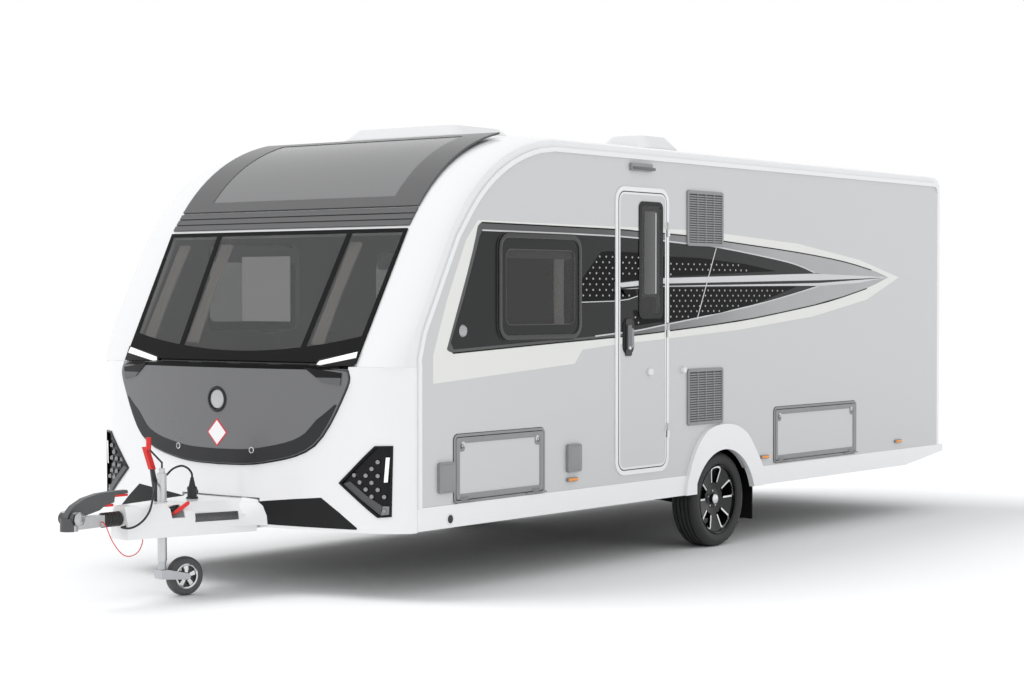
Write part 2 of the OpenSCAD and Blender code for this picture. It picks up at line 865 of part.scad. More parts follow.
rail_y = 510;
rail_z0 = 270;
rail_t = 5;
rail_w = 50;
rail_top = floor_z - floor_t - fit;
rail_x0 = rear_x + 150;
rail_x1 = 2600;
rail_holes = [for (x = [300 : 160 : 1900]) x];
tube_x = 165;
tube_z = 330;
seat_z = 394;

module c_section(z0, z1, w, t) {
    difference() {
        translate([0, z0]) square([w, z1 - z0]);
        translate([-1, z0 + t]) square([w - t + 1, z1 - z0 - 2 * t]);
    }
}

module chassis_rails() {
    color("silver") placed() {
        both_sides() difference() {
            translate([0, rail_y - rail_w, 0])
                slab_x(rail_x0, rail_x1 - rail_x0) c_section(rail_z0, rail_top, rail_w, rail_t);
            for (x = rail_holes) rod_y(x, 360, rail_y - 20, rail_y + 10, 45);
            translate([tube_x - 75, rail_y - 60, rail_z0 - 1]) cube([150, 70, seat_z - rail_z0 + 1]);
        }
        for (x = [-1900, 1500]) translate([x, -rail_y + rail_w + fit, rail_top - 60])
            cube([40, 2 * (rail_y - rail_w - fit), 60 - fit]);
    }
}

// Outer and inner face of a drawbar member at x
function member_out(x) = 38 + (cover_x1 - 32 - x) * (rail_y - 38) / (cover_x1 - 32 - rail_x1);
function member_in(x) = member_out(x) - 52;

module drawbar_frame() {
    x0 = rail_x1 + fit;
    color("silver") placed() {
        translate([0, 0, frame_z0]) linear_extrude(frame_z1 - frame_z0)
            both_sides_flat() polygon([[x0, member_in(x0)], [x0, member_out(x0)],
                [cover_x1 - 32, 38], [cover_x1 - 32, 24], [cover_x1 - 62, 24],
                [cover_x1 - 62, -3], [cover_x1 - 88, member_in(cover_x1 - 88)]]);
        jockey_clamp();
    }
}

module both_sides_flat() {
    children();
    mirror([0, 1]) children();
}

module axle() {
    arm_y0 = tyre_y - 259;
    arm_y1 = tyre_y - 219;
    plate_y = tyre_y - 177;
    color("dimgray") placed() {
        difference() {
            rod_y(tube_x, tube_z, -arm_y0, arm_y0, 48);
            rod_y(tube_x, tube_z, -arm_y0 + 20, arm_y0 - 20, 40);
        }
        both_sides() {
            difference() {
                translate([tube_x - 74, rail_y - 42, tube_z - 30])
                    cube([148, 42, seat_z - fit - tube_z + 30]);
                rod_y(tube_x, tube_z, rail_y - 50, rail_y, 47);
            }
            hull() {
                rod_y(tube_x, tube_z, arm_y0, arm_y1, 46, $fn = 32);
                rod_y(0, tyre_r, arm_y0, arm_y1, 40, $fn = 32);
            }
            rod_y(0, tyre_r, arm_y1, plate_y, 30);
            rod_y(0, tyre_r, plate_y, plate_y + 6, 122);
            rod_y(0, tyre_r, plate_y, hub_end - 24, stub_r);
        }
    }
}

// Road wheels: local +Z points outwards from the vehicle

tyre_y = hw - tyre_in - tyre_w / 2;
hub_end = tyre_y + 40;

function arc_points(cx, cy, r, a0, a1, n) =
    [for (i = [0 : n]) let (a = a0 + (a1 - a0) * i / n) [cx + r * cos(a), cy + r * sin(a)]];

module tyre() {
    h = tyre_w / 2;
    wall = tyre_r - rim_r;
    groove = 8;
    half = concat(
        [[rim_r, h - 26]],
        smooth([[rim_r + 6, h - 15], [rim_r + wall * 0.25, h - 5], [rim_r + wall * 0.5, h],
            [rim_r + wall * 0.75, h - 5], [tyre_r - 6, h - 20], [tyre_r, h - 38]], 2),
        [[tyre_r, h - 46], [tyre_r - groove, h - 47], [tyre_r - groove, h - 54], [tyre_r, h - 55],
         [tyre_r, h - 74], [tyre_r - groove, h - 75], [tyre_r - groove, h - 83],
         [tyre_r, h - 84]]);
    rotate_extrude() polygon(concat(half,
        [for (i = [len(half) - 1 : -1 : 0]) [half[i][0], -half[i][1]]]));
}

module rim() {
    h = tyre_w / 2;
    face_z = 44;
    face_t = 18;
    difference() {
        union() {
            rotate_extrude() polygon([[rim_r - 1, h - 26], [rim_r + 6, h - 12], [rim_r + 2, h - 9],
                [rim_r - 6, h - 16], [rim_r - 10, face_z], [rim_r - 16, -h + 40],
                [rim_r - 10, -h + 16], [rim_r - 1, -h + 12], [rim_r - 1, -h + 26],
                [rim_r - 8, -h + 44], [rim_r - 6, 0], [rim_r - 4, h - 44]]);
            rotate_extrude() polygon([[0, face_z - face_t], [60, face_z - face_t],
                [rim_r - 8, face_z + 10 - face_t], [rim_r - 8, face_z + 18], [110, face_z + 2],
                [62, face_z - 6], [34, face_z - 2], [34, face_z + 8], [0, face_z + 8]]);
            translate([0, 0, -h - 1]) cylinder(r = 124, h = face_z - face_t + h + 3);
        }
        for (a = [0 : 72 : 288]) rotate(a) linear_extrude(200)
            polygon([[92, -24], [rim_r - 30, -54], [rim_r - 20, -44], [rim_r - 15, 0],
                [rim_r - 20, 44], [rim_r - 30, 54], [92, 24], [104, 0]]);
        for (a = [0 : 72 : 288]) rotate(a) translate([50, 0, face_z - 14])
            cylinder(r = 9, h = 40);
        translate([0, 0, -h - 2]) cylinder(r = stub_r + 0.3, h = h + 24);
        translate([0, 0, -h - 2]) cylinder(r = 105, h = h - 8);
    }
}

module on_wheel(side) {
    translate([0, side * tyre_y, tyre_r]) rotate([side * -90, 0, 0]) rotate(-side * 90) children();
}

module tyre_left() {
    color("black") placed() on_wheel(1) tyre();
}

module tyre_right() {
    color("black") placed() on_wheel(-1) tyre();
}

module rim_left() {
    color("silver") placed() on_wheel(1) rim();
}

module rim_right() {
    color("silver") placed() on_wheel(-1) rim();
}

// Drawbar cover, coupling and brake

drawbar_z = 435;
frame_z0 = 345;
shaft_r = 22;
frame_z1 = drawbar_z - shaft_r - fit;
shoulder_z = 415;

// Plan of the cover, inset by g, with its half widths times w
module cover_plan(g, w) {
    x0 = panel_x + 4;
    polygon([[x0, (-cover_w0 + g) * w], [x0, (cover_w0 - g) * w],
        [cover_x1 - g, (cover_w1 - g) * w], [cover_x1 - g, (-cover_w1 + g) * w]]);
}

module cover_form(g, z0, z1) {
    hull() {
        translate([0, 0, z0]) linear_extrude(shoulder_z - g / 2 - z0) cover_plan(g, 1);
        translate([0, 0, z1 - 8]) linear_extrude(8) cover_plan(g, 0.62);
    }
}

lever_slot = [3588, -78, 88, 36];

module drawbar_cover() {
    t = 6;
    color("white") placed() difference() {
        cover_form(0, cover_z0, cover_z1);
        difference() {
            cover_form(t, cover_z0 - 1, cover_z1 - t);
            translate([cover_x1 - 20, -80, cover_z0 - 2]) cube([30, 160, 200]);
        }
        translate([jockey_x, 0, cover_z0]) cylinder(r = jockey_r + 6, h = 300);
        rod_x(cover_x1 - 60, cover_x1 + 20, 0, drawbar_z, shaft_r + fit);
        translate([lever_slot[0], lever_slot[1], cover_z0 + 40])
            cube([lever_slot[2], lever_slot[3], 200]);
        translate([jockey_x - 16, 98, 424]) cube([72, 80, 64]);
    }
}

head_x0 = 4088;

module coupling() {
    head_z = 400;
    color("dimgray") placed() {
        rod_x(3800, head_x0 + 10, 0, drawbar_z, shaft_r);
        difference() {
            union() {
                translate([tip_x - 45, 0, head_z - 2]) cylinder(r = 45, h = 66);
                hull() {
                    translate([tip_x - 60, 0, head_z + 4]) cylinder(r = 36, h = 62, $fn = 32);
                    translate([head_x0, -30, head_z + 6]) cube([10, 60, 57]);
                }
            }
            translate([tip_x - 48, 0, head_z - 10]) cylinder(r = socket_r, h = 50);
        }
        both_sides() {
            rod_y(tip_x - 61, head_z + 59, 26, 52, 36);
            rod_y(tip_x - 61, head_z + 59, 51, 60, 28);
        }
        slab_y(-19, 38) polygon([for (p = [[-14, 60], [-36, 100], [-61, 123], [-131, 155],
            [-221, 173], [-311, 178], [-412, 178], [-418, 162], [-329, 158], [-324, 122],
            [-266, 111], [-229, 89], [-167, 76], [-87, 60], [-43, 40]]) [tip_x + p[0], head_z + p[1]]]);
    }
}

module bellows() {
    x0 = cover_x1 + fit;
    l = head_x0 - x0 - fit;
    n = 5;
    color("black") placed() translate([x0, 0, drawbar_z]) rotate([0, 90, 0])
        rotate_extrude() polygon(concat(
            [[shaft_r + fit, 0]],
            [for (i = [0 : n - 1]) each [
                [30, l * i / n], [38, l * (i + 0.3) / n], [38, l * (i + 0.7) / n]]],
            [[30, l], [shaft_r + fit, l]]));
}

// Lever pivoted on a bracket on the right-hand drawbar member

module handbrake() {
    color("red") placed() {
        hull() {
            translate([3600, -70, 370]) cube([40, 10, 60]);
            translate([3668, -70, 660]) cube([24, 10, 8]);
        }
        hull() {
            translate([3666, -78, 662]) cube([28, 26, 4]);
            translate([3712, -78, 776]) cube([26, 26, 6]);
        }
        translate([3600, -member_in(3640) + fit, 370]) cube([40, member_in(3640) - fit - 70, 60]);
    }
}

// Jockey wheel: tube in its clamp, screw-out inner tube, castor fork and wheel

jockey_top = 646;
jockey_foot = 190;
tube_wall = 3;
inner_z0 = 150;
crown_z0 = 96;

module on_castor() {
    translate([jockey_x, 0, 0]) rotate(180 - castor_turn) children();
}

module jockey_clamp() {
    arm = member_in(jockey_x - 14) + 1;
    difference() {
        union() {
            translate([jockey_x, 0, 355]) cylinder(r = jockey_r + 12, h = 80);
            translate([jockey_x - 14, -arm, 370]) cube([28, 2 * arm, 36]);
        }
        translate([jockey_x, 0, 354]) cylinder(r = jockey_r + fit, h = 82);
    }
    hull() {
        translate([jockey_x + 12, jockey_r + 8, 408]) sphere(6, $fn = 16);
        translate([jockey_x + 30, 112, 442]) sphere(6, $fn = 16);
    }
    hull() {
        translate([jockey_x + 30, 112, 442]) sphere(6, $fn = 16);
        translate([jockey_x - 32, 160, 498]) sphere(8, $fn = 16);
    }
}

module jockey_outer() {
    color("silver") placed() {
        difference() {
            translate([jockey_x, 0, jockey_foot])
                cylinder(r = jockey_r, h = jockey_top - jockey_foot);
            translate([jockey_x, 0, jockey_foot - 1])
                cylinder(r = jockey_r - tube_wall, h = jockey_top - jockey_foot - 7);
        }
        translate([jockey_x, 0, jockey_top]) cylinder(r = 15, h = 24);
        translate([jockey_x, 0, jockey_top + 24]) cylinder(r = 5, h = 34);
        hull() {
            translate([jockey_x, 0, jockey_top + 54]) sphere(5, $fn = 24);
            translate([jockey_x + 92, 0, jockey_top + 132]) sphere(5, $fn = 24);
        }
        translate([jockey_x + 92, 0, jockey_top + 128]) cylinder(r = 13, h = 62);
    }
}

module jockey_inner() {
    r = jockey_r - tube_wall - fit;
    color("silver") placed() difference() {
        translate([jockey_x, 0, inner_z0]) cylinder(r = r, h = 340);
        translate([jockey_x, 0, inner_z0 + 30]) cylinder(r = r - tube_wall, h = 350);
    }
}

module jockey_fork() {
    r = jockey_wheel_r;
    color("silver") placed() on_castor() {
        translate([0, 0, crown_z0]) cylinder(r = jockey_r - tube_wall - fit,
            h = inner_z0 - crown_z0 - fit);
        for (k = [-1, 1]) hull() {
            translate([0, k * 37 - 3, crown_z0]) cube([10, 6, 50]);
            translate([jockey_trail, k * 37 - 3, r]) rotate([-90, 0, 0])
                cylinder(r = 16, h = 6, $fn = 32);
        }
        translate([-24, -40, crown_z0 + 2]) cube([28, 80, 46]);
        rod_y(jockey_trail, r, -40, 40, 8);
    }
}

jockey_axle_r = 8;

module jockey_wheel() {
    r = jockey_wheel_r;
    color("dimgray") placed() on_castor() translate([jockey_trail, 0, r]) rotate([-90, 0, 0])
        translate([0, 0, -30]) difference() {
            union() {
                rotate_extrude() polygon([[62, 6], [r - 14, 2], [r - 3, 10], [r, 22], [r, 38],
                    [r - 3, 50], [r - 14, 58], [62, 54]]);
                translate([0, 0, 20]) cylinder(r = 64, h = 20);
                cylinder(r = 20, h = 60);
            }
            for (a = [0 : 60 : 300]) rotate(a) translate([41, 0, 10]) cylinder(r = 13, h = 40);
            translate([0, 0, -1]) cylinder(r = jockey_axle_r + fit, h = 62);
        }
}

// Connector on its holder, the road lights lead and the breakaway cable

module connector() {
    color("black") placed() {
        translate([3458, 0, 504]) cylinder(r = 25, h = 56);
        translate([3458, 0, 560]) cylinder(r1 = 19, r2 = 8, h = 50);
        translate([3430, -16, cover_z1 + fit]) cube([56, 32, 10]);
        translate([3425, 0, 532]) rotate([0, 90, 0]) cylinder(r = 13, h = 12);
    }
}

// A round cord swept along its points by rings square to its run

function tangent(p, i) = let (n = len(p) - 1)
    unit(p[min(i + 1, n)] - p[max(i - 1, 0)]);
function cord_ring(p, i, r, n) = let (t = tangent(p, i),
    side = unit(cross(t, abs(t[1]) < 0.9 ? [0, 1, 0] : [1, 0, 0])), up = cross(side, t))
    [for (k = [0 : n - 1]) p[i] + r * (cos(360 * k / n) * side + sin(360 * k / n) * up)];
function smooth(p, steps) = let (n = len(p) - 1) concat(
    [for (i = [0 : n - 1], k = [0 : steps - 1]) let (t = k / steps,
        a = p[max(i - 1, 0)], b = p[i], c = p[i + 1], d = p[min(i + 2, n)])
        0.5 * (2 * b + (c - a) * t + (2 * a - 5 * b + 4 * c - d) * t * t
            + (3 * b - a - 3 * c + d) * t * t * t)],
    [p[n]]);

module cord(p, r, n) {
    m = len(p);
    points = [for (i = [0 : m - 1]) each cord_ring(p, i, r, n)];
    polyhedron(points, concat(
        [for (i = [0 : m - 2], k = [0 : n - 1]) let (a = i * n + k, b = i * n + (k + 1) % n) each [
            [a, a + n, b + n], [a, b + n, b]]],
        [[for (k = [0 : n - 1]) k]],
        [[for (k = [n - 1 : -1 : 0]) (m - 1) * n + k]]));
}

lead_r = 5.5;
lead_points = [[cover_x1 + fit / 2, 46, 396], [3975, 46, 396], [3988, 48, 396], [4003, 62, 396],
    [3986, 92, 392], [3954, 110, 402], [3921, 125, 426], [3881, 121, 458], [3846, 104, 489],
    [3778, 52, 548], [3712, -6, 582], [3692, -33, 596], [3653, -40, 612], [3606, -38, 628],
    [3578, -20, 660], [3536, 0, 675], [3490, 0, 660], [3464, 0, 636], [3458, 0, 620],
    [3458, 0, 610.2]];
breakaway_r = 2.5;
breakaway_points = [[4110, 30.9, 430], [4110, 36, 430], [4110, 42, 430], [4096, 52, 402], [4060, 54, 330],
    [4000, 56, 262], [3940, 54, 244], [3880, 48, 262], [3850, 45, 305], [3850, 45, 325],
    [3850, 45, frame_z0 - fit / 2]];

module lead() {
    color("black") placed() cord(smooth(lead_points, 4), lead_r, 8);
}

module breakaway_cable() {
    color("red") placed() cord(smooth(breakaway_points, 4), breakaway_r, 8);
}

// Corner steadies

steady_spots = [[2420, 1, 1], [2420, -1, 1], [-2480, 1, -1], [-2480, -1, -1]];
steady_y = 640;
pin_r = 8;

steady_turn = 50;
foot_drop = leg_z - leg_l * sin(steady_turn) - 3;

module steady_frame(s) {
    translate([s[0], s[1] * steady_y, leg_z]) children();
}

module steady_bracket(s) {
    top = rail_top - leg_z;
    steady_frame(s) {
        for (k = [-1, 1]) translate([-25, k * 34 - 3, -14]) cube([50, 6, top + 14]);
        translate([-25, -37, top - 6]) cube([50, 74, 6]);
        translate([0, -37, 0]) rotate([-90, 0, 0]) cylinder(r = pin_r, h = 74);
    }
}

module steady_brackets() {
    color("silver") placed() for (s = steady_spots) steady_bracket(s);
}

module steady_leg(s) {
    dir = s[2];
    steady_frame(s) mirror([dir > 0 ? 0 : 1, 0, 0]) difference() {
        union() {
            rotate([-90, 0, 0]) translate([0, 0, -26]) cylinder(r = 16, h = 52);
            translate([-leg_l, -26, -20]) cube([leg_l, 52, 6]);
            for (k = [-1, 1]) translate([-leg_l, k * 24 - 2, -20]) cube([leg_l, 4, 30]);
            translate([-leg_l, 0, 0]) rotate([0, steady_turn, 0]) {
                translate([-11, -11, -foot_drop]) cube([22, 22, foot_drop]);
                translate([-45, -50, -foot_drop]) cube([90, 100, 7]);
            }
        }
        rotate([-90, 0, 0]) translate([0, 0, -40]) cylinder(r = pin_r + 0.3, h = 80);
    }
}

module steady_front_left() {
    color("silver") placed() steady_leg(steady_spots[0]);
}

module steady_front_right() {
    color("silver") placed() steady_leg(steady_spots[1]);
}

module steady_rear_left() {
    color("silver") placed() steady_leg(steady_spots[2]);
}

module steady_rear_right() {
    color("silver") placed() steady_leg(steady_spots[3]);
}

// What shows of the cabin through the tinted glass

// A carcass of board, open at its foot and, where back is given, along the wall beside it
module carcass(x, y, z, l, w, h, back = 0) {
    board = 18;
    difference() {
        translate([x, y, z]) cube([l, w, h]);
        translate([x + board, y + board + min(back, 0) * 2 * board, z - 1])
            cube([l - 2 * board, w - 2 * board + abs(back) * 2 * board, h - board + 1]);
    }
}

bench_y = 560;
bench_h = 380;
bench_x = [1350, 2530];
bunk_x = [-1740, -520];

module cabin_furniture() {
    z = floor_z + fit;
    y0 = in_y - 2;
    color("tan") placed() {
        both_sides() {
            carcass(bench_x[0], bench_y, z, bench_x[1] - bench_x[0], y0 - bench_y, bench_h, 1);
            translate([bench_x[0], 950, z + bench_h + fit])
                cube([bench_x[1] - bench_x[0], y0 - 950, 330]);
        }
        carcass(2540, -450, z, 200, 900, 600);
        carcass(bunk_x[0], bench_y, z, bunk_x[1] - bunk_x[0], y0 - bench_y, bench_h, 1);
        carcass(house_half + 20, -y0, z, 520, 560, 880);
        translate([-470, -y0, z]) cube([40, 1400, 1830]);
        translate([-1790, -400, z]) cube([40, y0 + 400, 1830]);
    }
}

floor_panel();
chassis_rails();
drawbar_frame();
axle();
front_panel();
front_surround();
roof_panel();
rear_panel();
side_wall_left();
side_wall_right();
side_skirts();
wheel_housings();
front_window_frame();
front_window_panes();
wall_windows();
awning_rails();
corner_pods();
front_grilles();
gas_locker();
gas_locker_lid();
lid_lamps();
door_frame();
entry_door();
door_window();
door_fittings();
locker_frames();
service_door_front();
service_door_rear();
service_door_toilet();
wall_fittings();
fridge_vents();
tail_lamps();
rear_fittings();
rooflights();
drawbar_cover();
coupling();
bellows();
handbrake();
jockey_outer();
jockey_inner();
jockey_fork();
jockey_wheel();
connector();
lead();
breakaway_cable();
steady_brackets();
steady_front_left();
steady_front_right();
steady_rear_left();
steady_rear_right();
tyre_left();
rim_left();
tyre_right();
rim_right();
cabin_furniture();
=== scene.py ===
"""Single-axle travel caravan: finishes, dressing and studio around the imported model."""
import math

import bmesh
import bpy
import numpy as np
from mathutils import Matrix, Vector


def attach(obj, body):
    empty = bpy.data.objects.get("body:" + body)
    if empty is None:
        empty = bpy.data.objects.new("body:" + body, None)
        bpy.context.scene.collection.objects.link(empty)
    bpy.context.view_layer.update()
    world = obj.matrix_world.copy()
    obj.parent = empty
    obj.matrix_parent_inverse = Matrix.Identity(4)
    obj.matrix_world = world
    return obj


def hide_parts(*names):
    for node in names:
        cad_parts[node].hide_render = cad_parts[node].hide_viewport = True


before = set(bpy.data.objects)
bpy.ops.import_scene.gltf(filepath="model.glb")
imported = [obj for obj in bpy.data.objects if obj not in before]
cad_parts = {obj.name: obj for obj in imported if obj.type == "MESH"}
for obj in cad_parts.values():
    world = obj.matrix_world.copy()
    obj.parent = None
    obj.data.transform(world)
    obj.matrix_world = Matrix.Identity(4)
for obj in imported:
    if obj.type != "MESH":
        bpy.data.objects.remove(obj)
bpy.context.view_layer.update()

# The drawings this follows measure X from the axle, which lies this far behind the frame's origin.
FORE = 0.6385

# Camera. It stands ahead and to the door side of the caravan at eye height, far enough off
# for a long lens, as the photograph was taken.
def in_scene(thing):
    """Links an object to the scene."""
    bpy.context.scene.collection.objects.link(thing)
    return thing


camera = in_scene(bpy.data.objects.new("camera", bpy.data.cameras.new("camera")))
camera.data.lens = 73.95
camera.data.sensor_width = 36.0
camera.location = (10.5722, 8.0597, 1.5579)
camera.rotation_euler = (math.radians(88.79), 0.0, math.radians(127.45))
bpy.context.scene.camera = camera

bpy.context.scene.view_settings.view_transform = "Standard"

# Surface wear. Every finish on a used outdoor vehicle varies a little: broad patches in its
# colour, small changes in gloss and a fine grain in its surface. One group serves them all.
def add_node(tree, kind, wires=(), **settings):
    """A node in tree with its settings, its inputs joined to sockets or set to values."""
    node = tree.nodes.new(kind)
    for key, value in settings.items():
        setattr(node, key, value)
    for socket, source in dict(wires).items():
        if isinstance(source, bpy.types.NodeSocket):
            tree.links.new(source, node.inputs[socket])
        else:
            node.inputs[socket].default_value = source
    return node


def node_group(name, kind, inputs, outputs):
    """A node group with its sockets, each a name and a kind such as Float, and its inputs."""
    group = bpy.data.node_groups.new(name, kind)
    for way, sockets in (("INPUT", inputs), ("OUTPUT", outputs)):
        for socket, holds in sockets.items():
            group.interface.new_socket(socket, in_out=way, socket_type=f"NodeSocket{holds}")
    return group, add_node(group, "NodeGroupInput").outputs


wear, into = node_group(
    "surface_wear", "ShaderNodeTree",
    {"Color": "Color", "Patches": "Float", "Patch Scale": "Float", "Roughness": "Float",
     "Gloss Change": "Float", "Grain Scale": "Float"},
    {"Color": "Color", "Roughness": "Float", "Height": "Float"})
place = add_node(wear, "ShaderNodeTexCoord").outputs["Object"]
patches = add_node(wear, "ShaderNodeTexNoise",
                   {"Vector": place, "Scale": into["Patch Scale"], "Detail": 5.0})
spread = add_node(wear, "ShaderNodeMath", {0: patches.outputs["Fac"], 1: 0.5},
                  operation="SUBTRACT")
change = add_node(wear, "ShaderNodeMath", {0: spread.outputs[0], 1: into["Patches"], 2: 1.0},
                  operation="MULTIPLY_ADD")
toned = add_node(wear, "ShaderNodeVectorMath", {0: into["Color"]}, operation="SCALE")
wear.links.new(change.outputs[0], toned.inputs["Scale"])
fine = add_node(wear, "ShaderNodeTexNoise",
                {"Vector": place, "Scale": into["Grain Scale"], "Detail": 3.0})
gloss = add_node(wear, "ShaderNodeMath", {0: spread.outputs[0], 1: into["Gloss Change"],
                                          2: into["Roughness"]}, operation="MULTIPLY_ADD")
add_node(wear, "NodeGroupOutput", {"Color": toned.outputs[0], "Roughness": gloss.outputs[0],
                                   "Height": fine.outputs["Fac"]})


def finish(name, colour, roughness, patches=0.06, patch_scale=1.6, gloss_change=0.08,
           grain=120.0, relief=0.03, **constants):
    """A Principled material whose colour, gloss and bump come from the surface wear group."""
    made = bpy.data.materials.new(name)
    made.use_nodes = True
    tree = made.node_tree
    shader = tree.nodes["Principled BSDF"]
    worn = add_node(tree, "ShaderNodeGroup", node_tree=wear)
    for socket, value in (("Color", (*colour, 1.0)), ("Patches", patches),
                          ("Patch Scale", patch_scale), ("Roughness", roughness),
                          ("Gloss Change", gloss_change), ("Grain Scale", grain)):
        worn.inputs[socket].default_value = value
    bump = add_node(tree, "ShaderNodeBump", {"Height": worn.outputs["Height"],
                                             "Strength": relief, "Distance": 0.002})
    tree.links.new(worn.outputs["Color"], shader.inputs["Base Color"])
    tree.links.new(worn.outputs["Roughness"], shader.inputs["Roughness"])
    tree.links.new(bump.outputs["Normal"], shader.inputs["Normal"])
    for socket, value in constants.items():
        shader.inputs[socket.replace("_", " ")].default_value = value
    return made


# Painted areas. A group tells which part of a surface lies inside a box of the frame, so that a
# node of one piece can carry a second colour where the real thing has another part or paint.
inside, box_in = node_group("inside_box", "ShaderNodeTree", {"Low": "Vector", "High": "Vector"},
                            {"Mask": "Float"})
box_place = add_node(inside, "ShaderNodeTexCoord").outputs["Object"]
above = add_node(inside, "ShaderNodeVectorMath", {0: box_place, 1: box_in["Low"]},
                 operation="SUBTRACT")
below = add_node(inside, "ShaderNodeVectorMath", {0: box_in["High"], 1: box_place},
                 operation="SUBTRACT")
room = add_node(inside, "ShaderNodeVectorMath", {0: above.outputs[0], 1: below.outputs[0]},
                operation="MINIMUM")
room = add_node(inside, "ShaderNodeSeparateXYZ", {0: room.outputs[0]}).outputs
least = add_node(inside, "ShaderNodeMath", {0: room["X"], 1: room["Y"]}, operation="MINIMUM")
least = add_node(inside, "ShaderNodeMath", {0: least.outputs[0], 1: room["Z"]},
                 operation="MINIMUM")
mask = add_node(inside, "ShaderNodeMath", {0: least.outputs[0], 1: 0.0},
                operation="GREATER_THAN")
add_node(inside, "NodeGroupOutput", {0: mask.outputs[0]})


def paint(material, colour, low, high, **values):
    """Another colour, gloss or metal where the surface lies between the corners low and high."""
    tree = material.node_tree
    shader = tree.nodes["Principled BSDF"]
    spot = add_node(tree, "ShaderNodeGroup", node_tree=inside)
    spot.inputs["Low"].default_value = (low[0] - FORE, low[1], low[2])
    spot.inputs["High"].default_value = (high[0] - FORE, high[1], high[2])
    for name, value in (("Base Color", (*colour, 1.0)), *values.items()):
        target = shader.inputs[name.replace("_", " ")]
        is_colour = name == "Base Color"
        mixed = add_node(tree, "ShaderNodeMix", data_type="RGBA" if is_colour else "FLOAT")
        # The Mix node's sockets A, B and Result have other numbers for a colour.
        a, b, out = (6, 7, 2) if is_colour else (2, 3, 0)
        tree.links.new(spot.outputs[0], mixed.inputs["Factor"])
        if target.links:
            tree.links.new(target.links[0].from_socket, mixed.inputs[a])
        else:
            mixed.inputs[a].default_value = target.default_value
        mixed.inputs[b].default_value = value
        tree.links.new(mixed.outputs[out], target)


def fade(material, x0, x1, colour):
    """Lets the material's colour run over to another one between two places along X."""
    tree = material.node_tree
    shader = tree.nodes["Principled BSDF"]
    spot = add_node(tree, "ShaderNodeTexCoord").outputs["Object"]
    along = add_node(tree, "ShaderNodeSeparateXYZ", {0: spot}).outputs["X"]
    ramp = add_node(tree, "ShaderNodeMapRange", {"Value": along, "From Min": x0 - FORE,
                                                 "From Max": x1 - FORE})
    mixed = add_node(tree, "ShaderNodeMix", data_type="RGBA")
    tree.links.new(ramp.outputs[0], mixed.inputs["Factor"])
    tree.links.new(shader.inputs["Base Color"].links[0].from_socket, mixed.inputs[6])
    mixed.inputs[7].default_value = (*colour, 1.0)
    tree.links.new(mixed.outputs[2], shader.inputs["Base Color"])


def dress(material, *nodes):
    """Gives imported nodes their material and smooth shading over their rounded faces."""
    for name in nodes:
        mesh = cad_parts[name].data
        mesh.materials.clear()
        mesh.materials.append(material)
        soften(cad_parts[name])


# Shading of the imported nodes. Their facets are welded and shaded smooth where faces meet at a
# small angle, as a moulding or a rolled tube looks, and stay sharp at real edges.
soft_shading, shape_in = node_group("soft_shading", "GeometryNodeTree",
                                    {"Geometry": "Geometry"}, {"Geometry": "Geometry"})
joined = add_node(soft_shading, "GeometryNodeMergeByDistance",
                  {"Geometry": shape_in[0], "Distance": 0.00002})
faces = add_node(soft_shading, "GeometryNodeSetShadeSmooth",
                 {"Geometry": joined.outputs[0], "Shade Smooth": True}, domain="FACE")
bend = add_node(soft_shading, "GeometryNodeInputMeshEdgeAngle")
sharp = add_node(soft_shading, "FunctionNodeCompare",
                 {0: bend.outputs["Unsigned Angle"], 1: math.radians(28)},
                 operation="GREATER_THAN", data_type="FLOAT")
edges = add_node(soft_shading, "GeometryNodeSetShadeSmooth",
                 {"Geometry": faces.outputs[0], "Selection": sharp.outputs[0],
                  "Shade Smooth": False}, domain="EDGE")
add_node(soft_shading, "NodeGroupOutput", {0: edges.outputs[0]})


def soften(thing):
    """Welds a piece and shades it smooth across its small bends."""
    if "custom_normal" in thing.data.attributes:
        thing.data.attributes.remove(thing.data.attributes["custom_normal"])
    thing.modifiers.new("soft_shading", "NODES").node_group = soft_shading


# Studio. A plain pale floor under the wheels and even light from a wide soft sun and the sky.
# The camera, glossy and clear surfaces see plain white around the caravan.
world = bpy.data.worlds.new("studio")
bpy.context.scene.world = world
world.use_nodes = True
sky = world.node_tree.nodes["Background"]
sky.inputs["Color"].default_value = (0.97, 0.985, 1.0, 1.0)
sky.inputs["Strength"].default_value = 0.66
path = add_node(world.node_tree, "ShaderNodeLightPath").outputs
seen = path["Is Camera Ray"]
for ray in ("Is Glossy Ray", "Is Transmission Ray"):
    seen = add_node(world.node_tree, "ShaderNodeMath", {0: seen, 1: path[ray]},
                    operation="MAXIMUM").outputs[0]
white = add_node(world.node_tree, "ShaderNodeBackground",
                 {"Color": (1, 1, 1, 1), "Strength": 1.0})
lit = add_node(world.node_tree, "ShaderNodeMixShader",
               {0: seen, 1: sky.outputs[0], 2: white.outputs[0]})
world.node_tree.links.new(lit.outputs[0],
                          world.node_tree.nodes["World Output"].inputs["Surface"])

for name, energy, width, turn in (
        ("key_light", 1.45, 35, (math.radians(28), math.radians(22), 0.0)),
        ("side_fill", 0.75, 120,
         Vector((-0.25, -1.0, -0.35)).to_track_quat("-Z", "Y").to_euler())):
    lamp = in_scene(bpy.data.objects.new(name, bpy.data.lights.new(name, "SUN")))
    lamp.data.energy = energy
    lamp.data.angle = math.radians(width)
    lamp.rotation_euler = turn
    lamp.visible_glossy = False

